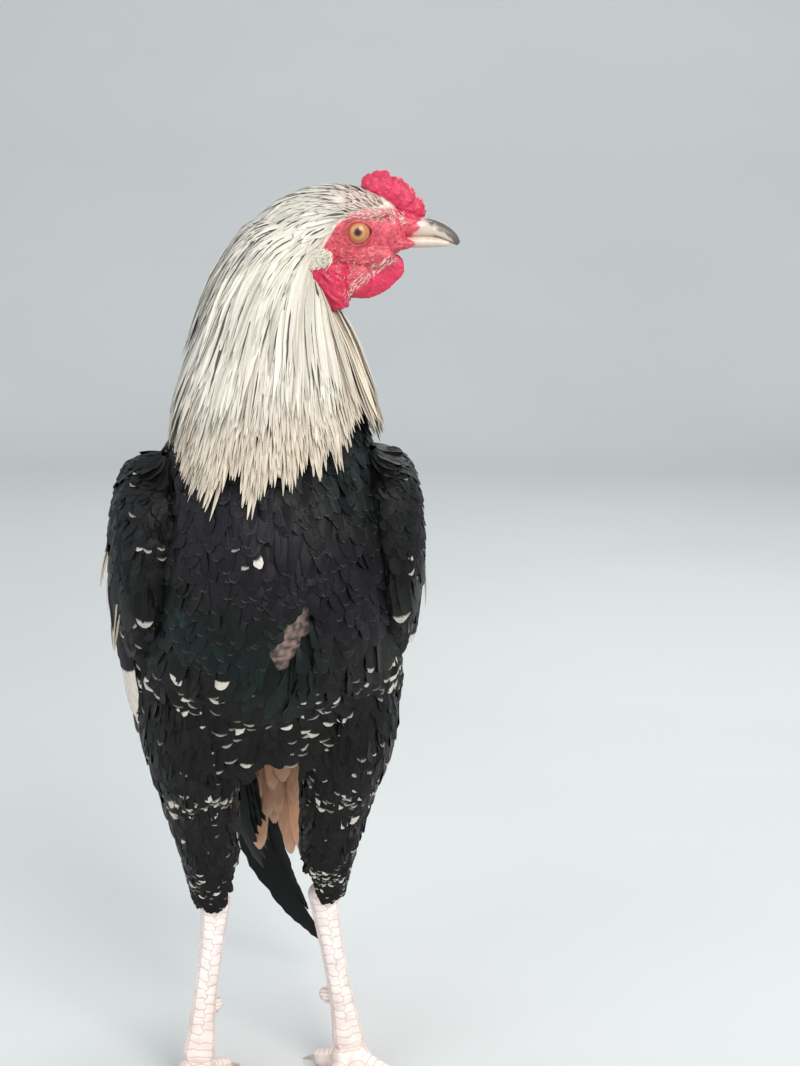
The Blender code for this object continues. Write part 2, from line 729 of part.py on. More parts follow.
def build():
    clear_scene()
    for word, own in (("left", list), ("right", mirrored)):
        node(f"foot_{word}", "pale_scale", own(foot_pieces()), [ground()])
        node(f"shank_{word}", "pale_scale", own(shank_pieces()), own(foot_pieces(GAP)))
        node(f"thigh_{word}", "black_feather", own(thigh_pieces()), torso_core(GAP) + own(shank_pieces(GAP)))
        node(f"wing_{word}", "black_feather", own(wing_pieces()), torso_pieces(GAP) + own(thigh_pieces(GAP)))
    for word, side in (("left", -1), ("right", 1)):
        node(f"eye_{word}", "eye", eye_pieces(side))
        node(f"ear_{word}", "ear_tuft", ear_pieces(side), head_pieces(GAP))
        lobe_cut = head_pieces(GAP) + ear_pieces(side, GAP)
        node(f"earlobe_{word}", "red_skin", earlobe_pieces(side), lobe_cut)
        wattle_cut = head_pieces(GAP) + earlobe_pieces(side, GAP) + bill_lower_pieces(GAP)
        node(f"wattle_{word}", "red_skin", wattle_pieces(side), wattle_cut)
    node("torso", "black_feather", torso_pieces())
    neck_cut = torso_core(GAP) + head_pieces(GAP) + wing_pieces(GAP) + mirrored(wing_pieces(GAP))
    for side in (1, -1):
        neck_cut += ear_pieces(side, GAP) + earlobe_pieces(side, GAP) + wattle_pieces(side, GAP)
    node("neck", "pale_feather", neck_pieces(), neck_cut)
    node("head", "red_skin", head_pieces(), eye_pieces(1, GAP) + eye_pieces(-1, GAP))
    node("bill_upper", "horn", bill_upper_pieces(), head_pieces(GAP))
    node("bill_lower", "horn", bill_lower_pieces(), head_pieces(GAP) + bill_upper_pieces(GAP))
    node("comb", "red_skin", comb_pieces(), head_pieces(GAP) + bill_upper_pieces(GAP))
    node("tail", "black_feather", tail_pieces(), torso_pieces(GAP))
    stand_over_origin()


build()
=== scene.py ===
"""The looks of a standing aseel cock: skin, eyes, bill, scaled legs and feathers over the solids."""

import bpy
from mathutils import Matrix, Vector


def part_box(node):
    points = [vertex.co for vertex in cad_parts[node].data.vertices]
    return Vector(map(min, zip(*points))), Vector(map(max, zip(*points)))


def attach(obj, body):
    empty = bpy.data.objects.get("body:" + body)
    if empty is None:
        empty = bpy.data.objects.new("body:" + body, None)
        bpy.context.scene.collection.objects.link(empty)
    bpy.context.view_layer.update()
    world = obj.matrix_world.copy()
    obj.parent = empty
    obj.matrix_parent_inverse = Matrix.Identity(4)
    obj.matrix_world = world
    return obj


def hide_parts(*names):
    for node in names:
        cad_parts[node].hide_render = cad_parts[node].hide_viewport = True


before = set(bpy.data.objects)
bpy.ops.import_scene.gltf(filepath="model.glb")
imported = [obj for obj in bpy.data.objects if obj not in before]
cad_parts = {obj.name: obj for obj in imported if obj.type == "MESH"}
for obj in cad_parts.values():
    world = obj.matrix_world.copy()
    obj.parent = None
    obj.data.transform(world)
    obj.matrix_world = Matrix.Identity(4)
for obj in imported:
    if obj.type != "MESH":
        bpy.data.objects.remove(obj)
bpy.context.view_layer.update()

from math import cos, pi, radians, sin, tau

import bpy
import numpy as np

# The bird's own frame: x to its left, y behind it, from under its body. The solids stand with the
# middle of their box over the origin, so everything here is moved by the same step, found at the eyes.
HEAD_CENTRE = np.array([0.061, -0.047, 0.6268])
STEP = np.array([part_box("eye_left"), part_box("eye_right")]).mean(axis=(0, 1)) - HEAD_CENTRE
draw = np.random.default_rng(11)


# Where the bird stands: a plain pale floor that rises into a plain wall far behind it, in soft
# daylight from the front. The camera stands before it at chest height and looks down a little.
YAW = radians(10)
PITCH = radians(14.05)
ASIDE, AWAY, EYE_LEVEL = 0.093, 1.092, 0.693
FOCAL_PIXELS = 1650
PICTURE_HEIGHT = 1066
camera_data = bpy.data.cameras.new("camera")
camera_data.sensor_width = 36
camera_data.lens = 36 * FOCAL_PIXELS / PICTURE_HEIGHT
camera = bpy.data.objects.new("camera", camera_data)
camera.location = (
    ASIDE * cos(YAW) - AWAY * sin(YAW) + STEP[0],
    -ASIDE * sin(YAW) - AWAY * cos(YAW) + STEP[1],
    EYE_LEVEL,
)
camera.rotation_euler = (pi / 2 - PITCH, 0, -YAW)
bpy.context.scene.collection.objects.link(camera)
bpy.context.scene.camera = camera


def lamp(name, place, aim, width, watts, colour):
    """A square soft light at place that faces aim."""
    light = bpy.data.lights.new(name, "AREA")
    light.size = width
    light.energy = watts
    light.color = colour
    holder = bpy.data.objects.new(name, light)
    holder.location = place
    way = Vector(aim) - Vector(place)
    holder.rotation_euler = way.to_track_quat("-Z", "Y").to_euler()
    bpy.context.scene.collection.objects.link(holder)


lamp("daylight", (0.75, -1.9, 1.75), (0.0, 0.0, 0.42), 1.3, 46, (1.0, 0.98, 0.95))
lamp("sky fill", (-1.6, -1.0, 1.2), (0.0, 0.0, 0.4), 1.6, 14, (0.93, 0.96, 1.0))
lamp("rim", (0.9, 1.1, 1.5), (0.0, 0.0, 0.45), 1.0, 12, (1.0, 1.0, 1.0))
world = bpy.data.worlds.new("daylight")
world.use_nodes = True
world.node_tree.nodes["Background"].inputs["Color"].default_value = (0.86, 0.93, 1.0, 1)
world.node_tree.nodes["Background"].inputs["Strength"].default_value = 0.9
bpy.context.scene.world = world
bpy.context.scene.view_settings.view_transform = "Standard"


def mesh_object(name, points, faces, material):
    """A smooth-shaded mesh object of that name, linked to the scene."""
    mesh = bpy.data.meshes.new(name)
    listed = faces if isinstance(faces, list) else faces.tolist()
    mesh.from_pydata(np.asarray(points, float).reshape(-1, 3).tolist(), [], listed)
    mesh.shade_smooth()
    mesh.materials.append(material)
    made = bpy.data.objects.new(name, mesh)
    bpy.context.scene.collection.objects.link(made)
    return made


def grid_faces(rows, columns, closed=False):
    """Quads between the points of a grid laid row by row; closed joins the last column to the first."""
    row, column = np.meshgrid(np.arange(rows - 1), np.arange(columns - (not closed)), indexing="ij")
    first = row * columns + column
    second = row * columns + (column + 1) % columns
    return np.stack([first, second, second + columns, first + columns], axis=-1).reshape(-1, 4)


def shader_of(name, roughness=0.5, **sockets):
    """A new material, its node tree and its Principled shader."""
    material = bpy.data.materials.new(name)
    material.use_nodes = True
    tree = material.node_tree
    shader = tree.nodes["Principled BSDF"]
    shader.inputs["Roughness"].default_value = roughness
    for socket, value in sockets.items():
        shader.inputs[socket.replace("_", " ")].default_value = value
    return material, tree, shader


def add(tree, kind, inputs=(), output=0, **settings):
    """A node of that kind with its inputs linked or set in order; gives back one of its outputs."""
    node = tree.nodes.new(kind)
    for setting, value in settings.items():
        setattr(node, setting, value)
    pairs = inputs.items() if isinstance(inputs, dict) else enumerate(inputs)
    for key, value in pairs:
        if isinstance(value, bpy.types.NodeSocket):
            tree.links.new(value, node.inputs[key])
        elif value is not None:
            node.inputs[key].default_value = value
    return node.outputs[output]


def maths(tree, operation, *values, clamp=False):
    """The result of that operation on the values; clamp keeps it from 0 to 1."""
    return add(tree, "ShaderNodeMath", values, operation=operation, use_clamp=clamp)


def mixed(tree, factor, first, second, blend="MIX"):
    """The colour between first and second; 6, 7 and 2 are the node's colour sockets."""
    inputs = {0: factor, 6: first, 7: second}
    return add(tree, "ShaderNodeMix", inputs, 2, data_type="RGBA", blend_type=blend)


def noise(tree, scale, detail):
    """Noise over the piece's own space."""
    place = add(tree, "ShaderNodeTexCoord", output="Object")
    return add(tree, "ShaderNodeTexNoise", {"Vector": place, "Scale": scale, "Detail": detail}, "Fac")


def attribute(tree, name, output="Color"):
    """What the mesh holds under that name at each point."""
    return add(tree, "ShaderNodeAttribute", output=output, attribute_name=name)


def shade(tree, shader, colour, grain, depth, floor):
    """Base colour: that colour times floor + depth * grain."""
    level = maths(tree, "MULTIPLY_ADD", grain, depth, floor)
    grey = add(tree, "ShaderNodeCombineColor", (level, level, level))
    tree.links.new(mixed(tree, 1.0, colour, grey, "MULTIPLY"), shader.inputs["Base Color"])


def bump(tree, shader, height, strength, distance):
    """A bump of that height under the shader's normal."""
    sockets = {"Strength": strength, "Distance": distance, "Height": height}
    tree.links.new(add(tree, "ShaderNodeBump", sockets), shader.inputs["Normal"])


backdrop, tree, shader = shader_of("plaster", 0.85)
speckle = add(tree, "ShaderNodeTexNoise", {"Scale": 9.0, "Detail": 6.0}, "Fac")
plaster = mixed(tree, speckle, (0.52, 0.525, 0.51, 1), (0.64, 0.645, 0.63, 1))
tree.links.new(plaster, shader.inputs["Base Color"])
turns = np.linspace(0, pi / 2, 12)
sweep = [(-4.0, 0.0), *((2.2 + 0.6 * sin(turn), 0.6 - 0.6 * cos(turn)) for turn in turns), (2.8, 5.0)]
profile = np.array([[(wide, away, high) for wide in (-5.0, 5.0)] for away, high in sweep])
stage = mesh_object("floor and wall", profile, grid_faces(len(sweep), 2), backdrop)
stage.data.flip_normals()
stage.rotation_euler = (0, 0, -YAW)


# The flesh: torso, neck, thighs, wings and the root of the tail under the coat, and the bare head
# with its comb, lids, wattles and ear lobes. It grows as one skin, so one closed mesh holds it all.
def unit(vectors):
    """Vectors of length 1 along those."""
    return vectors / np.linalg.norm(vectors, axis=-1, keepdims=True)


def curve(keys, places):
    """Rows at those places, from 0 to 1, on a Catmull-Rom curve through the rows of keys."""
    keys = np.asarray(keys, float)
    padded = np.vstack([2 * keys[0] - keys[1], keys, 2 * keys[-1] - keys[-2]])
    steps = np.asarray(places, float) * (len(keys) - 1)
    first = np.clip(np.floor(steps).astype(int), 0, len(keys) - 2)
    t = (steps - first)[..., None]
    a, b, c, d = (padded[first + k] for k in range(4))
    bend = (2 * a - 5 * b + 4 * c - d) * t**2 + (3 * b - a - 3 * c + d) * t**3
    return 0.5 * (2 * b + (c - a) * t + bend)


class Tube:
    """A tapering body along a curve, as in the solids.

    Keys are x, y, z, half width and half depth. At place s and angle a its surface is
    centre(s) + width |cos a|^(2/p) across + depth |sin a|^(2/p) up + lift normal.
    """

    def __init__(self, keys, side=(1.0, 0.0, 0.0), power=2.0):
        self.keys = np.asarray(keys, float)
        self.side = np.asarray(side, float)
        self.power = power
        steps = np.diff(curve(self.keys, np.linspace(0, 1, 50))[:, :3], axis=0)
        self.length = np.linalg.norm(steps, axis=1).sum()

    def frame(self, places):
        rows = curve(self.keys, places)
        ahead = unit((curve(self.keys, places + 0.01) - curve(self.keys, places - 0.01))[..., :3])
        across = unit(self.side - (ahead @ self.side)[..., None] * ahead)
        return rows, ahead, across, np.cross(ahead, across)

    def surface(self, places, angles, lift=0.0):
        """Points lift above the tube at those places and angles, and the outward normals there."""
        places, angles, lift = np.broadcast_arrays(places, angles, lift)
        rows, _, across, up = self.frame(places)
        waves = (np.cos(angles)[..., None], np.sin(angles)[..., None])
        wide, deep = (np.sign(wave) * np.abs(wave) ** (2 / self.power) for wave in waves)
        width, depth = rows[..., 3:4], rows[..., 4:5]
        normal = unit(wide / width * across + deep / depth * up)
        points = rows[..., :3] + wide * width * across + deep * depth * up
        return points + lift[..., None] * normal, normal

    def locate(self, points):
        """Place and angle of the part of the tube nearest to each point, and how far its middle is."""
        places = np.linspace(0, 1, 160)
        rows, ahead, across, up = self.frame(places)
        nearest = np.empty(len(points), int)
        for start in range(0, len(points), 20000):
            block = points[start : start + 20000, None] - rows[None, :, :3]
            nearest[start : start + 20000] = (block**2).sum(-1).argmin(1)
        away = points - rows[nearest, :3]
        wide, deep = (away * across[nearest]).sum(-1), (away * up[nearest]).sum(-1)
        place = places[nearest] + (away * ahead[nearest]).sum(-1) / self.length
        angle = np.arctan2(deep / rows[nearest, 4], wide / rows[nearest, 3])
        return place, angle, np.linalg.norm(away, axis=-1)


def closed_form(rings):
    """Points and faces of rings with a fan over each end."""
    rows, sides = rings.shape[:2]
    ends = rings[[0, -1]].mean(axis=1)
    points = np.vstack([rings.reshape(-1, 3), ends])
    around = np.arange(sides)
    following = (around + 1) % sides
    top = (rows - 1) * sides
    first = np.stack([np.full(sides, rows * sides), following, around], axis=-1)
    last = np.stack([np.full(sides, rows * sides + 1), top + around, top + following], axis=-1)
    return points, grid_faces(rows, sides, True).tolist() + first.tolist() + last.tolist()


def loft(tube, lift=0.0, first=0.0, last=1.0, rows=48, sides=48, relief=None):
    """The closed form of a tube between two places, rounded off at both ends.

    It stands off the tube by lift + relief - 0.9 depth (1 - sqrt(1 - (1 - r)^2)), where r rises from
    0 to 1 over the first and the last stretch, each as long as the tube is deep.
    """
    share = np.linspace(0, 1, rows)[:, None]
    places = first + (last - first) * share
    angles = (np.arange(sides) * tau / sides)[None, :]
    depth = curve(tube.keys, places[:, 0])[:, 3:5].min(axis=1)[:, None]
    rounding = np.minimum(1, np.minimum(share, 1 - share) * tube.length * abs(last - first) / depth)
    rise = lift + (relief(places, angles) if relief else 0.0)
    rise = rise - depth * (1 - np.sqrt(1 - (1 - rounding) ** 2)) * 0.9
    return closed_form(tube.surface(places, angles, rise)[0])


def ball(centre, radii, axes=np.eye(3), rows=24, sides=32):
    """An ellipsoid: centre + axes . radii . (cos a, sin a cos b, sin a sin b)."""
    down = np.linspace(0.03, pi - 0.03, rows)[:, None]
    around = (np.arange(sides) * tau / sides)[None, :]
    out = np.sin(down)
    way = np.stack([np.cos(down) + 0 * around, out * np.cos(around), out * np.sin(around)], -1)
    return closed_form(centre + (way * np.asarray(radii)) @ np.asarray(axes))


def joined(forms):
    """The points and the faces of several forms as those of one."""
    points, faces, start = [], [], 0
    for form_points, form_faces in forms:
        points.append(form_points)
        faces += [[start + corner for corner in face] for face in form_faces]
        start += len(form_points)
    return np.vstack(points), faces


def flesh(name, forms, voxel, smoothing, material):
    """One closed mesh of all the forms, melted together on a grid of that size and smoothed."""
    body = mesh_object(name, *joined(forms), material)
    melt = body.modifiers.new("melt", "REMESH")
    melt.mode = "VOXEL"
    melt.voxel_size = voxel
    soften = body.modifiers.new("soften", "SMOOTH")
    soften.factor = 0.5
    soften.iterations = smoothing
    bpy.context.view_layer.update()
    graph = bpy.context.evaluated_depsgraph_get()
    body.data = bpy.data.meshes.new_from_object(body.evaluated_get(graph))
    body.modifiers.clear()
    return body


def places_of(body):
    points = np.empty(len(body.data.vertices) * 3)
    body.data.vertices.foreach_get("co", points)
    return points.reshape(-1, 3)


def normals_of(body):
    return np.array([tuple(normal.vector) for normal in body.data.vertex_normals])


def move_to(body, points):
    body.data.vertices.foreach_set("co", np.ascontiguousarray(points, float).ravel())
    body.data.update()


def paint(body, name, colours):
    """A colour for each vertex, as an attribute of that name."""
    layer = body.data.attributes.get(name) or body.data.attributes.new(name, "FLOAT_COLOR", "POINT")
    full = np.ones((len(colours), 4))
    full[:, : colours.shape[1]] = colours
    layer.data.foreach_set("color", full.ravel())


def ripple(points, size, seed=0, count=28):
    """Smooth noise of about that wavelength: the mean of sines along random ways, about -1 to 1."""
    chance = np.random.default_rng(seed)
    ways = unit(chance.normal(size=(count, 3))) * tau / size * chance.uniform(0.6, 1.6, (count, 1))
    waves = np.sin(points @ ways.T + chance.uniform(0, tau, count))
    return waves.sum(axis=1) / np.sqrt(count / 2) / 1.6


def smoothed(values, low, high):
    """0 below low, 1 above high, and an even S between."""
    t = np.clip((values - low) / (high - low), 0, 1)
    return t * t * (3 - 2 * t)


def hump(values, middle, width):
    """A bell of height 1 round middle: exp of minus the square of (values - middle) / width."""
    return np.exp(-(((values - middle) / width) ** 2))


def blend(colours, share, other):
    """Moves each point's colour towards the other one by that share, in place."""
    colours += share[:, None] * (np.asarray(other) - colours)


TORSO = Tube(
    (
        (0.0, -0.046, 0.520, 0.035, 0.031),
        (0.0, -0.041, 0.482, 0.065, 0.052),
        (0.0, -0.032, 0.432, 0.079, 0.074),
        (0.0, -0.016, 0.382, 0.082, 0.083),
        (0.0, 0.014, 0.332, 0.074, 0.073),
        (0.0, 0.062, 0.297, 0.053, 0.049),
        (0.0, 0.100, 0.281, 0.032, 0.028),
    ),
    power=2.15,
)
NECK = Tube(
    (
        (0.008, -0.042, 0.488, 0.050, 0.046),
        (0.007, -0.043, 0.515, 0.047, 0.042),
        (0.007, -0.045, 0.545, 0.042, 0.037),
        (0.008, -0.047, 0.575, 0.036, 0.032),
        (0.014, -0.047, 0.600, 0.032, 0.028),
        (0.026, -0.046, 0.618, 0.028, 0.023),
    )
)
WING_KEYS = np.array(
    (
        (0.066, -0.054, 0.480, 0.011, 0.013),
        (0.076, -0.048, 0.459, 0.017, 0.033),
        (0.081, -0.026, 0.418, 0.018, 0.049),
        (0.082, 0.006, 0.376, 0.016, 0.050),
        (0.077, 0.036, 0.334, 0.011, 0.036),
        (0.070, 0.058, 0.302, 0.006, 0.016),
    )
)
THIGH_KEYS = np.array(
    (
        (0.050, -0.006, 0.335, 0.032, 0.050),
        (0.0545, -0.014, 0.290, 0.0310, 0.044),
        (0.0490, -0.004, 0.238, 0.0235, 0.032),
        (0.0430, 0.008, 0.186, 0.0170, 0.022),
        (0.0390, 0.014, 0.151, 0.0140, 0.0165),
    )
)
TAIL_ROOT = Tube(
    (
        (0.000, 0.098, 0.283, 0.026, 0.021),
        (0.000, 0.112, 0.266, 0.025, 0.020),
        (0.000, 0.124, 0.243, 0.020, 0.015),
    )
)


def on_side(keys, side, power=2.0):
    """The tube of a paired part: side 1 is the bird's left and -1 its right."""
    own = np.array(keys, float)
    own[:, 0] *= side
    return Tube(own, (side, 0.0, 0.0), power)


WINGS = {side: on_side(WING_KEYS, side) for side in (1, -1)}
THIGHS = {side: on_side(THIGH_KEYS, side) for side in (1, -1)}

# The head's own frame: ahead along the bill, to its right and up, from between the eyes.
TURN = radians(80)
AHEAD = np.array([sin(TURN), -cos(TURN), 0.0])
RIGHT = np.array([-cos(TURN), -sin(TURN), 0.0])
UP = np.array([0.0, 0.0, 1.0])
EYES_MIDDLE = np.array([0.061, -0.047, 0.626])


def at_head(ahead, right, up):
    """The bird's own place of a point given in the head's frame."""
    return EYES_MIDDLE + ahead * AHEAD + right * RIGHT + up * UP


def from_head(points):
    """Ahead, right and up of points in the head's own frame."""
    away = points - EYES_MIDDLE
    return away @ AHEAD, away @ RIGHT, away @ UP


def head_tube(keys, power=2.0):
    """A tube whose keys are given in the head's frame."""
    return Tube([(*at_head(*key[:3]), *key[3:]) for key in keys], RIGHT, power)


SKULL = head_tube(
    (
        (-0.032, 0.0, -0.008, 0.0165, 0.0180),
        (-0.022, 0.0, -0.003, 0.0195, 0.0230),
        (-0.010, 0.0, 0.000, 0.0200, 0.0255),
        (0.004, 0.0, 0.000, 0.0180, 0.0230),
        (0.018, 0.0, -0.001, 0.0140, 0.0170),
        (0.030, 0.0, -0.001, 0.0100, 0.0110),
    ),
    power=2.2,
)
COMB = head_tube(
    (
        (0.0395, 0.0, 0.0080, 0.0038, 0.0042),
        (0.0340, 0.0, 0.0125, 0.0056, 0.0068),
        (0.0268, 0.0, 0.0172, 0.0068, 0.0092),
        (0.0180, 0.0, 0.0225, 0.0074, 0.0108),
        (0.0085, 0.0, 0.0268, 0.0070, 0.0092),
        (0.0005, 0.0, 0.0292, 0.0052, 0.0050),
    )
)
EYE_RADIUS = 0.0088
EYE_OUT = 0.0118
EYE_AHEAD = -0.0013
EYE_LIFT = -0.0004
HEAD_AXES = np.array([RIGHT, AHEAD, UP])


def comb_relief(places, angles):
    """Uneven rounded lobes along the crest, that run down each side as shallow folds."""
    crest = np.clip(np.sin(angles), 0, 1)
    wander = 7.3 * places + 0.34 * np.sin(tau * 1.9 * places + 0.6) + 0.16 * np.sin(tau * 4.3 * places)
    lobes = np.abs(np.sin(pi * wander + 0.5 * np.cos(angles))) ** 0.8
    size = 0.0021 + 0.0011 * np.sin(tau * 2.6 * places + 2.0)
    folds = np.cos(tau * wander + 0.8 * np.cos(angles)) * np.sin(tau * 1.3 * places + 2 * angles)
    return size * (lobes - 0.5) * crest**1.3 - 0.00055 * folds * (1 - crest**2)


head_forms = [loft(SKULL), loft(COMB, rows=120, sides=64, relief=comb_relief)]
head_forms.append(loft(NECK, -0.007, 0.45, 1.06))
HOOD = Tube(
    (
        (0.010, -0.047, 0.585, 0.0290, 0.0340),
        (0.014, -0.047, 0.600, 0.0275, 0.0315),
        (0.026, -0.046, 0.618, 0.0235, 0.0285),
        (0.040, -0.0465, 0.6265, 0.0215, 0.0250),
        (0.053, -0.0470, 0.6275, 0.0205, 0.0240),
        (0.066, -0.0475, 0.6265, 0.0185, 0.0225),
        (0.078, -0.0480, 0.6250, 0.0145, 0.0170),
    ),
    RIGHT,
)
head_forms.append(loft(HOOD, -0.003))
head_forms.append(ball(at_head(-0.010, 0, -0.024), (0.0135, 0.021, 0.0140), HEAD_AXES))
head_forms.append(ball(at_head(0.024, 0, 0.0035), (0.0088, 0.0150, 0.0085), HEAD_AXES))
# Round forms on each side: ahead, out and up of the head's middle, their radii and axes.
TILT = radians(33)
along = cos(TILT) * AHEAD + sin(TILT) * UP
WATTLE_AXES = np.array([RIGHT, along, np.cross(along, RIGHT)])
SWELLINGS = (
    ((0.0040, 0.0135, 0.0105), (0.0050, 0.0150, 0.0032), HEAD_AXES),  # brow
    ((0.0040, 0.0110, -0.0150), (0.0062, 0.0175, 0.0075), HEAD_AXES),  # cheek
    ((0.0220, 0.0070, -0.0085), (0.0042, 0.0120, 0.0040), HEAD_AXES),  # root of the lower bill
    ((0.0100, 0.0085, -0.0290), (0.0026, 0.0195, 0.0105), WATTLE_AXES),  # wattle
    ((0.0195, 0.0085, -0.0235), (0.0026, 0.0080, 0.0085), HEAD_AXES),  # its front
    ((-0.004, 0.0105, -0.0300), (0.0055, 0.0120, 0.0120), HEAD_AXES),  # throat
    ((-0.0225, 0.0175, -0.0155), (0.0040, 0.0066, 0.0056), HEAD_AXES),  # ear
)
LID_RADIUS, LID_THICKNESS, LID_OUT = 0.0082, 0.0011, 0.0052
LID_SIDES, LID_ROUND = 72, 16
for side in (1, -1):
    # The lids: a ring round the eye, with a point in front.
    eye = at_head(EYE_AHEAD, side * EYE_OUT, EYE_LIFT)
    around = (np.arange(LID_SIDES) * tau / LID_SIDES)[:, None, None]
    rim = (np.arange(LID_ROUND) * tau / LID_ROUND)[None, :, None]
    reach = LID_RADIUS + LID_THICKNESS * np.cos(rim)
    pointed = 1 + 0.16 * np.clip(np.cos(around), 0, 1) ** 6
    lid = (
        eye
        + side * RIGHT * (LID_OUT + LID_THICKNESS * np.sin(rim))
        + AHEAD * reach * np.cos(around) * pointed
        + UP * reach * np.sin(around) * 0.98
    )
    lid_faces = grid_faces(LID_SIDES + 1, LID_ROUND, True) % (LID_SIDES * LID_ROUND)
    head_forms.append((lid.reshape(-1, 3), lid_faces.tolist()))
    head_forms.append(ball(eye, (0.0058, 0.0106, 0.0098), HEAD_AXES))
    for (forward, out, high), radii, axes in SWELLINGS:
        head_forms.append(ball(at_head(forward, side * out, high), radii, axes))
    # The ear lobe: three soft folds side by side that run together at their lower end.
    for step, out in ((0.0, 0.0178), (0.0062, 0.0186), (0.0120, 0.0168)):
        fold = head_tube(
            (
                (-0.0265 + step, side * out, -0.0190, 0.0028, 0.0042),
                (-0.0262 + step, side * out, -0.0290, 0.0034, 0.0048),
                (-0.0225 + 0.8 * step, side * (out - 0.0006), -0.0385, 0.0032, 0.0046),
                (-0.0135 + 0.3 * step, side * (out - 0.0025), -0.0480, 0.0020, 0.0026),
            )
        )
        head_forms.append(loft(fold, 0.0008, rows=30, sides=24))

skin_finish, tree, shader = shader_of("skin", 0.48)
head = flesh("skin", head_forms, voxel=0.00062, smoothing=5, material=skin_finish)


def bare_zones(points):
    """How far each point lies on the comb, the wattles, the ear lobes and the bare face, 0 to 1."""
    ahead, right, up = from_head(points)
    foot_at = (-0.006, 0.004, 0.014, 0.021, 0.025, 0.034, 0.043)
    foot = np.interp(ahead, foot_at, (0.0265, 0.0245, 0.0200, 0.0150, 0.0088, 0.0068, 0.0050))
    comb = smoothed(up - foot, -0.0008, 0.0008) * (ahead > -0.006)
    jaw_at = (-0.010, -0.0045, 0.004, 0.010, 0.020, 0.030)
    jaw = np.interp(ahead, jaw_at, (-0.044, -0.0400, -0.0310, -0.0262, -0.0190, -0.0140))
    wattle = smoothed(jaw - up, -0.0006, 0.0010) * (ahead > -0.010)
    lobe = smoothed(-up, 0.0185, 0.0200) * smoothed(-ahead, 0.0055, 0.0085)
    lobe = lobe * smoothed(np.abs(right), 0.010, 0.013) * (ahead > -0.032) * (up > -0.053)
    back_at = (-0.05, -0.02, -0.008, 0.004, 0.011, 0.016)
    back = np.interp(up, back_at, (-0.026, -0.029, -0.022, -0.0145, -0.006, 0.014))
    face = smoothed(ahead - back, -0.001, 0.001) * (1 - smoothed(up, 0.0125, 0.0150))
    return comb, wattle, lobe, face


# The relief of the skin: wrinkles of the bare face, pebbles of the comb, creases of the ear lobes.
points = places_of(head)
ahead, right, up = from_head(points)
on_comb, on_wattle, on_lobe, on_face = bare_zones(points)
eye_reach = np.hypot(ahead - EYE_AHEAD, up - EYE_LIFT)
fine = 1 - np.abs(ripple(points * (1.0, 1.0, 1.7), 0.0040, 3))
pebbles = ripple(points, 0.0030, 5)
rings = np.sin(eye_reach * tau / 0.0026 + 1.6 * ripple(points, 0.012, 8))
around_eye = smoothed(eye_reach, 0.0085, 0.0100) * (1 - smoothed(eye_reach, 0.0130, 0.0175))
crease = np.sin((0.8 * ahead + 0.6 * up) * tau / 0.0050 + 1.8 * ripple(points, 0.014, 9))
relief = (
    0.00030 * on_face * (fine - 0.5) * smoothed(eye_reach, 0.0085, 0.0110)
    + 0.00016 * rings * around_eye
    + on_comb * (0.00034 * pebbles + 0.00050 * ripple(points, 0.0075, 6))
    + 0.00012 * on_wattle * pebbles
    + 0.00042 * on_lobe * crease
)
points = points + relief[:, None] * normals_of(head)

# The socket: skin behind the eyeball, and a thick lid round the opening, which has a point in front.
corner = 1 + 0.22 * np.clip((ahead - EYE_AHEAD) / np.maximum(eye_reach, 1e-6), 0, 1) ** 10
closing = np.where(up > EYE_LIFT, 1.30, 1.00)
opening = np.hypot((ahead - EYE_AHEAD) * 1.14, (up - EYE_LIFT) * closing) / corner
behind = EYE_OUT - 0.0010 + np.sqrt(np.clip(EYE_RADIUS**2 - eye_reach**2, 1e-8, None))
sink = (1 - smoothed(opening, 0.0074, 0.0081)) * (np.abs(right) > 0.008)
lid = 0.0007 * hump(opening, 0.0087, 0.0010) * (np.abs(right) > 0.008)
slide = sink * np.minimum(behind - np.abs(right), 0) + lid
points = points + (slide * np.sign(right))[:, None] * RIGHT
move_to(head, points)
bare_points, bare_normals = points, normals_of(head)

# Colour of the skin in each place.
coral, crimson = np.array((0.51, 0.050, 0.076)), np.array((0.50, 0.018, 0.062))
pale, dark = np.array((0.66, 0.60, 0.50)), np.array((0.020, 0.021, 0.023))
colour = np.broadcast_to(pale, points.shape).copy()
mottle = ripple(points, 0.006, 12)[:, None]
face_colour = coral * (1 + 0.14 * mottle) * (0.80 + 0.30 * fine)[:, None]
face_colour = face_colour + 0.10 * np.clip(fine - 0.62, 0, 1)[:, None]
face_colour = face_colour + smoothed(up, 0.006, 0.014)[:, None] * np.array((0.02, 0.10, 0.09))
blend(colour, on_face, face_colour)
flush = np.maximum(np.maximum(on_comb, on_wattle), on_lobe)
blend(colour, flush, crimson * (1 + 0.10 * mottle))
# A dark red ring round the eye: the lid rim's own colour, about twice as strong above the eye as a
# painted shadow under the brow.
rim_red = smoothed(eye_reach, 0.0072, 0.0078) * (1 - smoothed(eye_reach, 0.0092, 0.0100))
brow_shadow = 0.45 + 0.45 * smoothed(up, 0.002, 0.007)
blend(colour, brow_shadow * rim_red * on_face, (0.26, 0.036, 0.036))
paint(head, "Tint", colour)

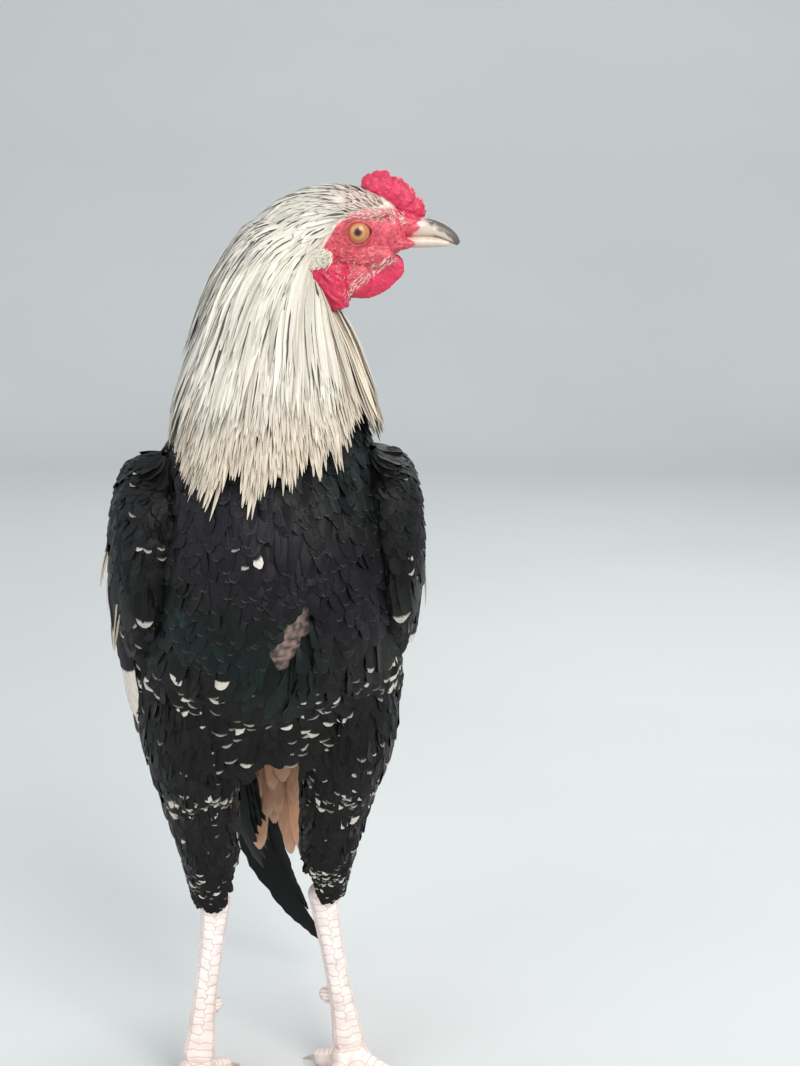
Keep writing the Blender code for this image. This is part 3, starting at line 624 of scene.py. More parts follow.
# The worn bare strip over the keel slants up to the bird's left: heights, and its middle at each.
KEEL = ((0.350, 0.404), (-0.0030, 0.0225))
body_forms = [loft(TORSO, -0.005), loft(NECK, -0.009, -0.2, 0.98), loft(TAIL_ROOT, -0.003, -0.3, 1.0)]
for side in (1, -1):
    body_forms.append(loft(WINGS[side], -0.003))
    body_forms.append(loft(THIGHS[side], -0.004, -0.05, 1.03))
trunk = flesh("trunk", body_forms, voxel=0.0026, smoothing=6, material=skin_finish)
points = places_of(trunk)
on_neck = smoothed(points[:, 2], 0.500, 0.520)
colour = dark + on_neck[:, None] * (pale - dark)
off_keel = np.abs(points[:, 0] - np.interp(points[:, 2], *KEEL))
on_keel = (points[:, 1] < -0.06) & (np.abs(points[:, 2] - 0.379) < 0.029)
on_keel = on_keel * (1 - smoothed(off_keel, 0.0080, 0.0110))
scabs = np.clip(0.55 + 0.85 * ripple(points, 0.0055, 4), 0.12, 1.15)[:, None]
blend(colour, on_keel, np.array((0.26, 0.175, 0.145)) * scabs)
blend(colour, 1 - smoothed(points[:, 2], 0.200, 0.215), (0.80, 0.69, 0.63))
paint(trunk, "Tint", colour)
union = head.modifiers.new("grow together", "BOOLEAN")
union.object = trunk
union.operation = "UNION"
union.solver = "MANIFOLD"
bpy.context.view_layer.update()
skin_mesh = bpy.data.meshes.new_from_object(head.evaluated_get(bpy.context.evaluated_depsgraph_get()))
head.modifiers.clear()
head.data = skin_mesh
head.data.transform(Matrix.Translation(STEP))
head.data.shade_smooth()
bpy.data.objects.remove(trunk)
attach(head, "root")
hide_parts("torso", "neck", "head", "comb", "tail")
for part in ("thigh", "wing", "earlobe", "wattle"):
    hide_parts(f"{part}_left", f"{part}_right")

shade(tree, shader, attribute(tree, "Tint"), noise(tree, 160.0, 4.0), 0.5, 0.75)
bump(tree, shader, noise(tree, 900.0, 3.0), 0.35, 0.0004)
shader.inputs["Subsurface Weight"].default_value = 0.12
shader.inputs["Subsurface Radius"].default_value = (0.004, 0.0015, 0.001)
shader.inputs["Subsurface Scale"].default_value = 0.6


# The eyes: wet balls that sit in the sockets behind the lids, each a clear bulge over a golden iris
# with a paler ring inside its rim and a round pupil.
eye_finish, tree, shader = shader_of("eyeball", 0.24, Coat_Weight=0.12, Coat_Roughness=0.08)
radius = attribute(tree, "Iris", "Fac")
fibres = noise(tree, 1400.0, 3.0)
wavering = maths(tree, "MULTIPLY_ADD", fibres, 0.10, maths(tree, "SUBTRACT", radius, 0.05))
ramp = tree.nodes.new("ShaderNodeValToRGB")
tree.links.new(wavering, ramp.inputs["Fac"])
IRIS = (
    (0.0, (0.012, 0.006, 0.005)),
    (0.190, (0.016, 0.008, 0.006)),
    (0.220, (0.13, 0.038, 0.014)),
    (0.30, (0.32, 0.120, 0.038)),
    (0.40, (0.49, 0.250, 0.105)),
    (0.52, (0.45, 0.200, 0.080)),
    (0.64, (0.40, 0.150, 0.055)),
    (0.74, (0.52, 0.265, 0.130)),
    (0.84, (0.46, 0.170, 0.085)),
    (0.92, (0.16, 0.030, 0.026)),
)
for at, rgb in IRIS:
    stop = ramp.color_ramp.elements.new(at) if at > 0 else ramp.color_ramp.elements[0]
    stop.color = (*rgb, 1)
ramp.color_ramp.elements.remove(ramp.color_ramp.elements[-1])
tree.links.new(ramp.outputs["Color"], shader.inputs["Base Color"])
for word, side in (("right", 1), ("left", -1)):
    down = np.linspace(0.02, pi - 0.02, 72)[:, None]
    around = (np.arange(96) * tau / 96)[None, :]
    bulge = EYE_RADIUS - 0.0002 + 0.0004 * hump(down, 0, 0.5)
    middle = at_head(EYE_AHEAD, side * EYE_OUT, EYE_LIFT)
    rings = middle + (bulge * np.cos(down) + 0 * around)[..., None] * side * RIGHT
    rings = rings + (bulge * np.sin(down) * np.cos(around))[..., None] * side * AHEAD
    rings = rings + (bulge * np.sin(down) * np.sin(around))[..., None] * -UP
    points, faces = closed_form(rings)
    eye = mesh_object(f"eyeball_{word}", points + STEP, faces, eye_finish)
    iris = eye.data.attributes.new("Iris", "FLOAT", "POINT")
    level = np.where(down < pi / 2, np.sin(down), 1.0) + 0 * around
    iris.data.foreach_set("value", np.append(level.ravel(), (0.0, 1.0)))
    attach(eye, "root")
    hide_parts(f"eye_{word}")


# The bill: two horny sheaths that meet in a line, the upper one hooked, ivory at its base and dark
# along its ridge, with a soft flap over each nostril.
BILL_UPPER = head_tube(
    (
        (0.0225, 0.0, 0.0002, 0.0082, 0.0064),
        (0.0340, 0.0, 0.0012, 0.0074, 0.0062),
        (0.0430, 0.0, 0.0010, 0.0060, 0.0056),
        (0.0510, 0.0, -0.0014, 0.0044, 0.0048),
        (0.0575, 0.0, -0.0052, 0.0028, 0.0034),
        (0.0617, 0.0, -0.0092, 0.0010, 0.0012),
    )
)
BILL_LOWER = head_tube(
    (
        (0.0225, 0.0, -0.0072, 0.0076, 0.0040),
        (0.0360, 0.0, -0.0074, 0.0066, 0.0040),
        (0.0470, 0.0, -0.0076, 0.0050, 0.0034),
        (0.0565, 0.0, -0.0088, 0.0024, 0.0016),
    )
)
horn, tree, shader = shader_of("horn", 0.32, Subsurface_Weight=0.08, Subsurface_Scale=0.002)
grain = noise(tree, 260.0, 5.0)
shade(tree, shader, attribute(tree, "Tint"), grain, 0.5, 0.74)
bump(tree, shader, grain, 0.25, 0.0003)


def bill_relief(places, angles):
    """A raised ridge along the top and a pit for each nostril under its flap."""
    ridge = 0.0006 * np.clip(-np.sin(angles), 0, 1) ** 6
    beside = hump(np.abs(np.cos(angles)), 0.82, 0.14) * (np.sin(angles) < 0)
    flap = hump(places, 0.38, 0.055) * beside
    slit = hump(places, 0.46, 0.025) * beside
    return ridge + 0.0013 * flap - 0.0010 * slit


upper = loft(BILL_UPPER, 0.0, rows=110, sides=72, relief=bill_relief)
lower = loft(BILL_LOWER, 0.0, rows=70, sides=48)
for name, (points, faces) in (("bill_upper", upper), ("bill_lower", lower)):
    ahead, right, up = from_head(points)
    ivory, brown = np.array((0.54, 0.45, 0.375)), np.array((0.060, 0.045, 0.040))
    flesh_pink = np.array((0.62, 0.30, 0.27))
    soft = smoothed(ahead, 0.0290, 0.0390)[:, None]
    colour = flesh_pink + soft * (ivory - flesh_pink)
    red_at = np.interp(up, (-0.006, -0.002, 0.002), (0.029, 0.033, 0.0385))
    past_skin = ahead - red_at + 0.001 * ripple(points, 0.006, 22)
    blend(colour, 1 - smoothed(past_skin, -0.0012, 0.0012), coral)
    flap = np.hypot((ahead - 0.0385) / 1.9, up - 0.0042)
    blend(colour, 1 - smoothed(flap, 0.0012, 0.0020), (0.72, 0.52, 0.48))
    wave = 0.0016 * ripple(points, 0.008, 21)
    if name == "bill_upper":
        ridge_at = (0.039, 0.043, 0.047, 0.052, 0.057, 0.062)
        ridge_line = np.interp(ahead, ridge_at, (0.0060, 0.0036, 0.0009, -0.0021, -0.0062, -0.0112))
        on_ridge = smoothed(up - ridge_line + 0.6 * wave, -0.0012, 0.0020)
        on_ridge = on_ridge * smoothed(ahead, 0.0385, 0.0430)
        edge = np.interp(ahead, (0.046, 0.052, 0.058), (-0.0035, -0.0058, -0.0084))
        streak = hump(up, edge, 0.0010) * smoothed(ahead, 0.043, 0.048)
        blend(colour, np.maximum(0.92 * on_ridge, 0.80 * streak), brown)
    bill = mesh_object(name + "_sheath", points + STEP, faces, horn)
    paint(bill, "Tint", colour)
    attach(bill, "root")
    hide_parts(name)


# The legs: bare shanks and toes in one scaled skin, plates in two rows down the front of the shank
# and across the toes, small scales elsewhere, flat pads on the floor, and a blunt spur inside.
SHANK_KEYS = (
    (0.0388, 0.0155, 0.150, 0.0122, 0.0138),
    (0.0415, 0.0120, 0.123, 0.0094, 0.0114),
    (0.0475, 0.0075, 0.084, 0.0084, 0.0101),
    (0.0525, 0.0030, 0.050, 0.0096, 0.0106),
    (0.0565, -0.0010, 0.021, 0.0132, 0.0122),
)
HUB = np.array((0.057, -0.002, 0.0135))
TOES = (
    (radians(4), 0.074, 0.0080),
    (radians(-38), 0.056, 0.0075),
    (radians(50), 0.058, 0.0073),
    (radians(-128), 0.036, 0.0066),
)
# A toe's share of its length, the height of its middle and its share of the width.
TOE_FORM = (
    (0.0, 0.0130, 1.0),
    (0.24, 0.0100, 1.0),
    (0.5, 0.0078, 0.9),
    (0.72, 0.0062, 0.78),
    (0.86, 0.0046, 0.5),
)
PLATE, TOE_PLATE = 0.0064, 0.0046
SCALE, TOE_SCALE = 0.0026, 0.0018
PLATED_ANGLE, TOE_PLATED_ANGLE = 0.95, 0.9


def honeycomb(wide, long, pitch):
    """Distance to the nearest border of a honeycomb of cells of that pitch."""
    step = np.array((1.0, np.sqrt(3.0))) * pitch
    spot = np.stack([wide, long], axis=-1)
    first = np.mod(spot, step) - step / 2
    second = np.mod(spot + step / 2, step) - step / 2
    nearer = ((first**2).sum(-1) < (second**2).sum(-1))[..., None]
    x, y = np.abs(np.where(nearer, first, second)).T
    return pitch / 2 - np.maximum(x, x / 2 + y * np.sqrt(3.0) / 2)


def toe_tube(heading, length, half_width, side):
    """A toe, a tenth thicker at its pads by cos(4 turns), and the way it points."""
    ahead = np.array((side * sin(heading), -cos(heading), 0.0))
    hub = HUB * (side, 1, 0)
    keys = []
    for share, high, wide in TOE_FORM:
        width = wide * (1 + 0.10 * cos(tau * share * 4)) * half_width
        keys.append((*(hub + ahead * share * length + (0, 0, high)), width, high + 0.0010))
    return Tube(keys, (-ahead[1], ahead[0], 0.0)), ahead


scale_finish, tree, shader = shader_of("scaled_skin", 0.42)
shade(tree, shader, attribute(tree, "Tint"), noise(tree, 120.0, 5.0), 0.4, 0.8)
bump(tree, shader, noise(tree, 900.0, 3.0), 0.3, 0.0003)
shader.inputs["Subsurface Weight"].default_value = 0.1
shader.inputs["Subsurface Scale"].default_value = 0.002

for word, side in (("left", 1), ("right", -1)):
    shank = on_side(SHANK_KEYS, side)
    toes = [toe_tube(*form, side) for form in TOES]
    spur = np.array((0.0424 * side, 0.0146, 0.058))
    spur_way = unit(np.array((-side * 1.0, 1.0, 0.1)))
    forms = [loft(shank, 0.0, 0.0, 1.0), ball(HUB * (side, 1, 1), (0.0152, 0.0158, 0.0145))]
    forms += [loft(tube, 0.0) for tube, _ in toes]
    spur_axes = np.array([spur_way, np.cross(spur_way, UP), UP])
    forms.append(ball(spur, (0.0075, 0.0054, 0.0062), spur_axes))
    leg = flesh(f"leg_{word}", forms, voxel=0.0006, smoothing=5, material=scale_finish)
    points = places_of(leg)
    normals = normals_of(leg)
    place, angle, away = shank.locate(points)
    radius = curve(shank.keys, np.clip(place, 0, 1))[:, 3]
    from_front = np.mod(side * angle - pi / 2 + pi, tau) - pi
    row = place * shank.length / PLATE + 0.16 * ripple(points * (1, 1, 0.3), 0.010, 41)
    split = smoothed(-points[:, 2], -0.048, -0.044)
    shifted = row + 0.5 * (from_front > 0) * (1 - split)
    across_plate = np.abs(shifted - np.round(shifted)) * PLATE
    middle = np.abs(from_front * radius + 0.0009 * np.sin(row * tau)) + 0.004 * split
    plate_edge = np.minimum(across_plate, middle)
    small = honeycomb(angle * radius, place * shank.length, SCALE)
    front = np.abs(from_front) < PLATED_ANGLE
    plate_side = np.abs(np.abs(from_front) - PLATED_ANGLE) * radius
    border = np.where(front, np.minimum(plate_edge, plate_side), np.minimum(small, plate_side))
    height = np.where(front, 0.00050, 0.00026)
    # Toes: whichever toe is nearest gives the place of each point along it.
    best = np.where(points[:, 2] > 0.022, -1.0, away - radius + 0.002)
    for tube, _ in toes:
        share, turn, far = tube.locate(points)
        wide = curve(tube.keys, np.clip(share, 0, 1))[:, 3]
        gap = far - wide
        takes = (gap < best) & (points[:, 2] < 0.030)
        row = share * tube.length / TOE_PLATE
        across_toe = np.abs(row - np.round(row)) * TOE_PLATE
        side_scales = honeycomb(turn * wide, share * tube.length, TOE_SCALE)
        on_top = np.abs(np.mod(turn + pi / 2, tau) - pi) < TOE_PLATED_ANGLE
        border = np.where(takes, np.where(on_top, across_toe, side_scales), border)
        height = np.where(takes, np.where(on_top, 0.00042, 0.00018), height)
        best = np.where(takes, gap, best)
    raised = smoothed(border, 0.0, 0.00075)
    points = points + (height * (raised - 0.6))[:, None] * normals
    points[:, 2] = np.maximum(points[:, 2], 0.0)
    move_to(leg, points)
    higher = smoothed(points[:, 2], 0.02, 0.12)[:, None]
    rosy = (0.80, 0.66, 0.60) + higher * (0.03, 0.06, 0.07)
    colour = rosy * (1 + 0.07 * ripple(points, 0.012, 31))[:, None]
    blend(colour, 0.55 * (1 - smoothed(border, 0.00005, 0.00050)), (0.30, 0.205, 0.17))
    blend(colour, 0.5 * (1 - smoothed(points[:, 2], 0.0005, 0.0050)), (0.34, 0.24, 0.18))
    from_knob = np.linalg.norm(points - spur - 0.006 * spur_way, axis=1)
    blend(colour, 0.7 * hump(from_knob, 0, 0.004), (0.36, 0.27, 0.22))
    paint(leg, "Tint", colour)
    leg.data.transform(Matrix.Translation(STEP * (1, 1, 0)))
    leg.data.shade_smooth()
    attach(leg, "root")
    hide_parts(f"shank_{word}", f"foot_{word}")
    # The claws: one horny cone on each toe, curved down to the floor.
    claw_forms = []
    for tube, ahead in toes:
        root = tube.keys[-2, :3] * (1, 1, 0) + (0, 0, 0.0062)
        size = 0.72 + 0.28 * tube.length / 0.07
        keys = []
        for share in np.linspace(0, 1, 5):
            middle = root + ahead * size * 0.019 * share - UP * (0.0052 * share**1.8)
            slim = size * (1 - 0.88 * share)
            keys.append((*middle, 0.0033 * slim, 0.0037 * slim))
        claw, faces = loft(Tube(keys, tube.side), rows=28, sides=20)
        claw[:, 2] = np.maximum(claw[:, 2], 0.0002)
        claw_forms.append((claw, faces))
    points, faces = joined(claw_forms)
    claws = mesh_object(f"claws_{word}", points + STEP * (1, 1, 0), faces, horn)
    paint(claws, "Tint", np.array((0.42, 0.33, 0.27)) * (1 + 0.25 * ripple(points, 0.01, 7))[:, None])
    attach(claws, "root")


# The feathers: every one is a thin vane of its own, rooted in the skin, and they lie like tiles, those
# above over those below. Each keeps its shaft, the slant of its barbs and its own markings.
LANCE = ((0.0, 0.35), (0.15, 0.75), (0.45, 1.0), (0.75, 0.72), (0.92, 0.34), (1.0, 0.05))
ROUND = ((0.0, 0.40), (0.25, 0.85), (0.60, 1.0), (0.82, 0.93), (0.92, 0.74), (0.97, 0.50), (1.0, 0.16))
BLADE = ((0.0, 0.30), (0.12, 0.80), (0.35, 1.0), (0.80, 0.96), (0.94, 0.66), (1.0, 0.08))
BRISTLE = ((0.0, 0.8), (0.3, 1.0), (0.7, 0.6), (1.0, 0.1))


def down_feather(rows):
    """Places from a feather's root, 0, to its tip, 1, closer together towards the tip."""
    return 1 - (1 - np.linspace(0, 1, rows)) ** 1.6


class Coat:
    """Gathers the feathers of one piece, with their own coordinates, markings and place on the skin."""

    def __init__(self):
        self.points, self.faces, self.plume, self.bake, self.tint, self.mark = [], [], [], [], [], []
        self.start = 0

    def take(self, points, root, tint, mark, keep=slice(None)):
        """The feathers to keep, as rows and columns of points; root is each one's place on the unwrap."""
        points, root, tint, mark = points[keep], root[keep], tint[keep], mark[keep]
        count, rows, columns = points.shape[:3]
        quads = grid_faces(rows, columns)
        shift = (np.arange(count) * rows * columns)[:, None, None]
        self.faces.append((quads[None] + shift).reshape(-1, 4) + self.start)
        self.start += count * rows * columns
        across, along = np.meshgrid(np.linspace(0, 1, columns), down_feather(rows))
        own = np.broadcast_to(np.stack([across, along], -1), (count, rows, columns, 2))
        self.points.append(points.reshape(-1, 3))
        self.plume.append(own.reshape(-1, 2))
        self.bake.append((root[:, None, None] + 0.003 * (own - 0.5)).reshape(-1, 2))
        self.tint.append(np.repeat(tint, rows * columns, axis=0))
        self.mark.append(np.repeat(mark, rows * columns, axis=0))

    def made(self, name, material, slot, *nodes):
        points = np.vstack(self.points) + STEP * (1, 1, 0)
        coat = mesh_object(name, points, np.vstack(self.faces), material)
        loops = np.empty(len(coat.data.loops), np.int32)
        coat.data.loops.foreach_get("vertex_index", loops)
        for title, values in (("Plume", self.plume), ("OFBake", self.bake)):
            layer = coat.data.uv_layers.new(name=title)
            layer.data.foreach_set("uv", np.vstack(values)[loops].ravel())
        paint(coat, "Tint", np.vstack(self.tint))
        paint(coat, "Mark", np.vstack(self.mark))
        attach(coat, "root")
        if nodes:
            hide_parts(*nodes)
        return coat


def vanes(spine, normal, half_width, shape, roll, camber, columns):
    """Sheets along spines: spine + c w across - camber w c c out, with c from -1 to 1."""
    rows = spine.shape[1]
    wide = half_width[:, None] * np.interp(down_feather(rows), *np.transpose(shape))
    frayed = wide[..., None] * (1 + 0.09 * draw.normal(size=(len(spine), rows, 2)))
    ahead = unit(np.gradient(spine, axis=1))
    across = unit(np.cross(ahead, normal))
    out = np.cross(across, ahead)
    tilt = roll[:, None, None]
    across, out = np.cos(tilt) * across + np.sin(tilt) * out, np.cos(tilt) * out - np.sin(tilt) * across
    c = np.linspace(-1, 1, columns)
    reach = np.where(c < 0, frayed[..., :1], frayed[..., 1:])
    sideways = (c * reach)[..., None] * across[:, :, None]
    return spine[:, :, None] + sideways - (camber * c**2 * reach)[..., None] * out[:, :, None]


def on_unwrap(place, angle, corner=(0.0, 0.0)):
    """The place on the skin's unwrap of feathers at those places and angles of a tube."""
    own = (np.mod(angle / tau, 1) * 0.45 + corner[0], 0.05 + 0.4 * place + corner[1])
    return np.stack(own, axis=-1)


def plumage(
    tube, place, angle, reach, half_width, lift, shape,
    swing=0.0, roll=0.14, camber=0.18, rows=7, columns=3, sink=0.004, uv=(0.0, 0.0),
):
    """Feathers along a tube; reach is in metres, towards lower places if negative.

    Their spines run at place + reach t and angle + swing t, and rise from sink under the surface
    to lift above it as t to the power 0.6.
    """
    count = len(place)
    given = (reach, half_width, lift, swing)
    reach, half_width, lift, swing = (np.broadcast_to(np.asarray(v, float), (count,)) for v in given)
    t = down_feather(rows)[None, :]
    places = place[:, None] + reach[:, None] / tube.length * t
    angles = angle[:, None] + swing[:, None] * t
    rise = -sink + (lift[:, None] + sink) * t**0.6
    spine, normal = tube.surface(places, angles, rise)
    sheets = vanes(spine, normal, half_width, shape, draw.normal(0, roll, count), camber, columns)
    return sheets, on_unwrap(place, angle, uv)


def clear_of(sheets, covered):
    """Which feathers keep all their points out of a bare part; covered tells that of points."""
    flat = covered(sheets.reshape(-1, 3)).reshape(len(sheets), -1)
    return ~flat.any(axis=1)


def on_face_or_ear(points):
    """The face, ear and ear lobe, with the throat skin right under them."""
    ahead, right, up = from_head(points)
    back_at = (-0.052, -0.047, -0.037, -0.027, -0.017, -0.009, -0.002, 0.006, 0.011)
    border = (-0.002, -0.010, -0.0225, -0.0290, -0.0300, -0.0270, -0.0185, -0.0125, -0.004)
    back = np.interp(up, back_at, border)
    return (ahead > back) & (up > -0.050) & (up < 0.0115)


def on_keel_skin(points):
    """The slanting bare strip over the keel of the breast."""
    high = points[:, 2]
    heights = (0.351, 0.356, 0.366, 0.380, 0.391, 0.404)
    half = np.interp(high, heights, (0.0055, 0.0062, 0.0044, 0.0058, 0.0018, 0.0002))
    strip = np.abs(points[:, 0] - np.interp(high, *KEEL)) < half + 0.0014 * ripple(points, 0.010, 14)
    return strip & (points[:, 1] < -0.04) & (high > 0.351) & (high < 0.403)


def marks(count, streak=0.0, tip=0.0):
    """Each feather's shaft streak, pale tip and a chance of its own: the channels of its Mark."""
    given = (streak, tip, draw.random(count))
    values = [np.broadcast_to(np.asarray(v, float), (count,)) for v in given]
    return np.stack(values, axis=-1)


def shades(count, colour, spread):
    """That colour for each feather, each a little lighter or darker than the next."""
    return np.asarray(colour) * np.exp(draw.normal(0, spread, (count, 1)))


# What every feather shares: a thin shaft, and barbs that slant from it to the edges.
barbs = bpy.data.node_groups.new("barbs", "ShaderNodeTree")
for title in ("Height", "Aside", "Along", "Ragged"):
    barbs.interface.new_socket(title, in_out="OUTPUT", socket_type="NodeSocketFloat")
plume = add(barbs, "ShaderNodeUVMap", uv_map="Plume")
parts = barbs.nodes.new("ShaderNodeSeparateXYZ")
barbs.links.new(plume, parts.inputs[0])
aside = maths(barbs, "ABSOLUTE", maths(barbs, "MULTIPLY_ADD", parts.outputs["X"], 2.0, -1.0))
mark = attribute(barbs, "Mark", "Vector")
chance = barbs.nodes.new("ShaderNodeSeparateXYZ")
barbs.links.new(mark, chance.inputs[0])
slant = maths(barbs, "MULTIPLY_ADD", aside, -7.0, maths(barbs, "MULTIPLY", parts.outputs["Y"], 42.0))
offset = maths(barbs, "MULTIPLY_ADD", chance.outputs["Z"], 40.0, slant)
spot = add(barbs, "ShaderNodeCombineXYZ", (aside, offset, chance.outputs["Z"]))
split = add(barbs, "ShaderNodeTexNoise", {"Vector": spot, "Scale": 2.4, "Detail": 3.0}, "Fac")
shaft = maths(barbs, "SUBTRACT", 1.0, maths(barbs, "MULTIPLY", aside, 16.0), clamp=True)
height = maths(barbs, "MULTIPLY_ADD", shaft, 0.8, split)
ends = barbs.nodes.new("NodeGroupOutput")
for order, value in enumerate((height, aside, parts.outputs["Y"], split)):
    barbs.links.new(value, ends.inputs[order])


def feather_finish(name, roughness, dark, streak_colour, tip_colour, tip_start, sharpness, shine, short):
    """A feather material: its tint, a dark streak along the shaft, a pale tip and fine barbs."""
    material, tree, shader = shader_of(name, roughness)
    vane = tree.nodes.new("ShaderNodeGroup")
    vane.node_tree = barbs
    own = tree.nodes.new("ShaderNodeSeparateXYZ")
    tree.links.new(attribute(tree, "Mark", "Vector"), own.inputs[0])
    aside, along, ragged = (vane.outputs[k] for k in ("Aside", "Along", "Ragged"))
    # The streak is a spindle that ends short of the tip, with a ragged edge.
    spindle = maths(tree, "SINE", maths(tree, "MULTIPLY", maths(tree, "POWER", along, 0.8), pi))
    wide = maths(tree, "MULTIPLY", own.outputs["X"], maths(tree, "POWER", spindle, short))
    rough_edge = maths(tree, "MULTIPLY_ADD", ragged, 0.30, aside)
    inside = maths(tree, "SUBTRACT", maths(tree, "ADD", wide, 0.12), rough_edge)
    streak = maths(tree, "MULTIPLY", inside, 9.0, clamp=True)
    body = mixed(tree, streak, attribute(tree, "Tint"), (*streak_colour, 1))
    # The tip's border bends back along both edges.
    rim = maths(tree, "MULTIPLY_ADD", maths(tree, "POWER", aside, 2.0), 0.7 / sharpness, along)
    rim = maths(tree, "MULTIPLY_ADD", ragged, 1.6 / sharpness, rim)
    rim = maths(tree, "MULTIPLY_ADD", own.outputs["Y"], 2.6 / sharpness, rim)
    past = maths(tree, "SUBTRACT", rim, tip_start + 2.0 / sharpness)
    past = maths(tree, "MULTIPLY", past, sharpness, clamp=True)
    tip = maths(tree, "MULTIPLY", past, own.outputs["Y"], clamp=True)
    body = mixed(tree, tip, body, (*tip_colour, 1))
    shade(tree, shader, body, ragged, 2 * (1 - dark), dark)
    bump(tree, shader, vane.outputs["Height"], 0.5, 0.0004)
    shader.inputs["Specular IOR Level"].default_value = shine
    return material


black_finish = feather_finish(
    "black_coat", 0.36, dark=0.50, streak_colour=(0.004, 0.004, 0.004), tip_colour=(0.54, 0.495, 0.43),
    tip_start=0.945, sharpness=30, shine=0.15, short=1.0,
)


# Breast, belly and back: round-ended black feathers over the whole torso, with green and purple
# sheen painted into their colour, a few white flecks on the breast and white crescents low on the belly.
def painted_sheen(points_up, points_side):
    """Painted sheen, green high on the breast and purple beside it, as a tint for each feather."""
    plain = np.array((0.0056, 0.0053, 0.0052))
    green = np.array((0.0036, 0.0084, 0.0074))
    purple = np.array((0.0060, 0.0052, 0.0076))
    wave = np.sin(points_up * 38 + points_side * 21)[:, None]
    return plain + np.clip(wave, 0, 1) * (green - plain) + np.clip(-wave, 0, 1) * (purple - plain)


GOLDEN_TURN = 0.61803398875
COAL = (0.0056, 0.0053, 0.0052)


def scattered(count, first, last, low, high):
    """Places and angles spread evenly but not in rows, by the golden ratio, with a little chance."""
    order = np.arange(count)
    place = first + (last - first) * (order + 0.5 + draw.normal(0, 0.4, count)) / count
    turn = np.mod(order * GOLDEN_TURN, 1.0)
    return place, low + (high - low) * turn


body_coat = Coat()
place, angle = scattered(5200, 0.0, 0.99, 0.0, tau)
count = len(place)
spots = TORSO.surface(place, angle)[0]
reach = 0.030 + 0.005 * draw.normal(size=count)
lift = 0.0036 + 0.0022 * draw.random(count)
half_width = 0.0064 * np.exp(draw.normal(0, 0.14, count))
swing = draw.normal(0, 0.11, count)
sheets, root = plumage(TORSO, place, angle, reach, half_width, lift, ROUND, swing=swing, rows=8)
flecked = 0.07 * (spots[:, 2] < 0.365) * np.clip(0.7 + 1.2 * ripple(spots, 0.05, 35), 0, 2)
fleck_at = np.hypot(spots[:, 0] + 0.0276, spots[:, 2] - 0.462) < 0.010
flecked = flecked + 0.22 * (fleck_at & (spots[:, 1] < 0))
chosen = draw.random(count) < flecked
# Chosen feathers get white tips; all others a faint pale border at the tip, a painted highlight for light
# caught on their edges.
tip = np.where(chosen, 0.4 + draw.exponential(0.5, count), draw.uniform(0.0, 0.10, count))
# Each feather's green or purple tint is painted sheen, a little lighter or darker at random.
tints = painted_sheen(spots[:, 2], spots[:, 0]) * np.exp(draw.normal(0, 0.25, (count, 1)))
keep = clear_of(sheets, on_keel_skin)
body_coat.take(sheets, root, tints, marks(count, 0.0, tip), keep)
# Those that would lie over the worn strip are broken off short.
own = (place[~keep], angle[~keep], 0.4 * reach[~keep], 0.6 * half_width[~keep], lift[~keep])
sheets, root = plumage(TORSO, *own, ROUND, rows=8)
short = clear_of(sheets, on_keel_skin)
body_coat.take(sheets, root, tints[~keep], marks(len(root)), short)

# The black bib under the hackle's parting runs up the front of the neck in small feathers.
place, angle = scattered(800, -0.15, 0.38, -1.75, 0.55)
angle = -0.60 + (angle + 0.60) * np.interp(place, (-0.15, 0.10, 0.38), (1.0, 0.8, 0.25))
count = len(place)
lift = 0.0040 + 0.0060 * smoothed(angle, -0.6, 0.1) + 0.002 * draw.random(count)
sheets, root = plumage(NECK, place, angle, -0.030, 0.0060, lift, ROUND, rows=8, uv=(0.5, 0.45))
# The bib's green and purple tint is painted sheen as well.
tints = painted_sheen(0.50 + 0.1 * place, angle / 12) * np.exp(draw.normal(0, 0.25, (count, 1)))
body_coat.take(sheets, root, tints, marks(count))

# The saddle hackle hangs over the rump in long pointed feathers.
place, angle = scattered(700, 0.28, 0.90, -pi / 2 - 1.15, -pi / 2 + 1.15)
count = len(place)
lift = 0.0065 + 0.002 * draw.random(count)
sheets, root = plumage(TORSO, place, angle, 0.085, 0.0052, lift, LANCE, rows=8, uv=(0.5, 0.0))
body_coat.take(sheets, root, shades(count, (0.0060, 0.0060, 0.0064), 0.25), marks(count))
body_coat.made("coat_body", black_finish, "black_feather", "torso")


# The belly: soft round-ended feathers that hang over the tops of the thighs as one skirt, shorter in
# the middle, laced with white crescents along its hem.
BELLY = Tube(
    (
        (0.0, -0.024, 0.405, 0.080, 0.074),
        (0.0, -0.014, 0.365, 0.0840, 0.076),
        (0.0, -0.006, 0.330, 0.0875, 0.066),
        (0.001, -0.002, 0.295, 0.0865, 0.056),
        (0.004, 0.000, 0.262, 0.0790, 0.048),
        (0.005, 0.002, 0.236, 0.0730, 0.042),
    ),
    power=2.3,
)
belly_coat = Coat()
place, angle = scattered(2300, 0.02, 0.66, 0.0, tau)
count = len(place)
reach = 0.036 + 0.004 * draw.normal(size=count)
reach = reach + 0.004 * smoothed(place, 0.45, 0.66) * np.abs(np.cos(angle)) ** 3
lift = np.interp(place, (0, 0.66), (0.0045, 0.0030)) + 0.0022 * draw.random(count)
swing = draw.normal(0, 0.08, count)
skirt = {"roll": 0.22, "rows": 8, "uv": (0.0, 0.45)}
sheets, root = plumage(BELLY, place, angle, reach, 0.0070, lift, ROUND, swing=swing, **skirt)
spots = BELLY.surface(place, angle)[0]
laced = 0.03 + 0.11 * smoothed(place, 0.05, 0.25) + 0.22 * smoothed(place, 0.48, 0.60)
laced = laced * np.clip(0.8 + 1.1 * ripple(spots, 0.040, 33), 0.1, 2.2)
laced = laced * (0.45 + 0.9 * np.abs(np.cos(angle)))
tip = np.where(draw.random(count) < laced, 0.35 + draw.exponential(0.45, count), 0.0)
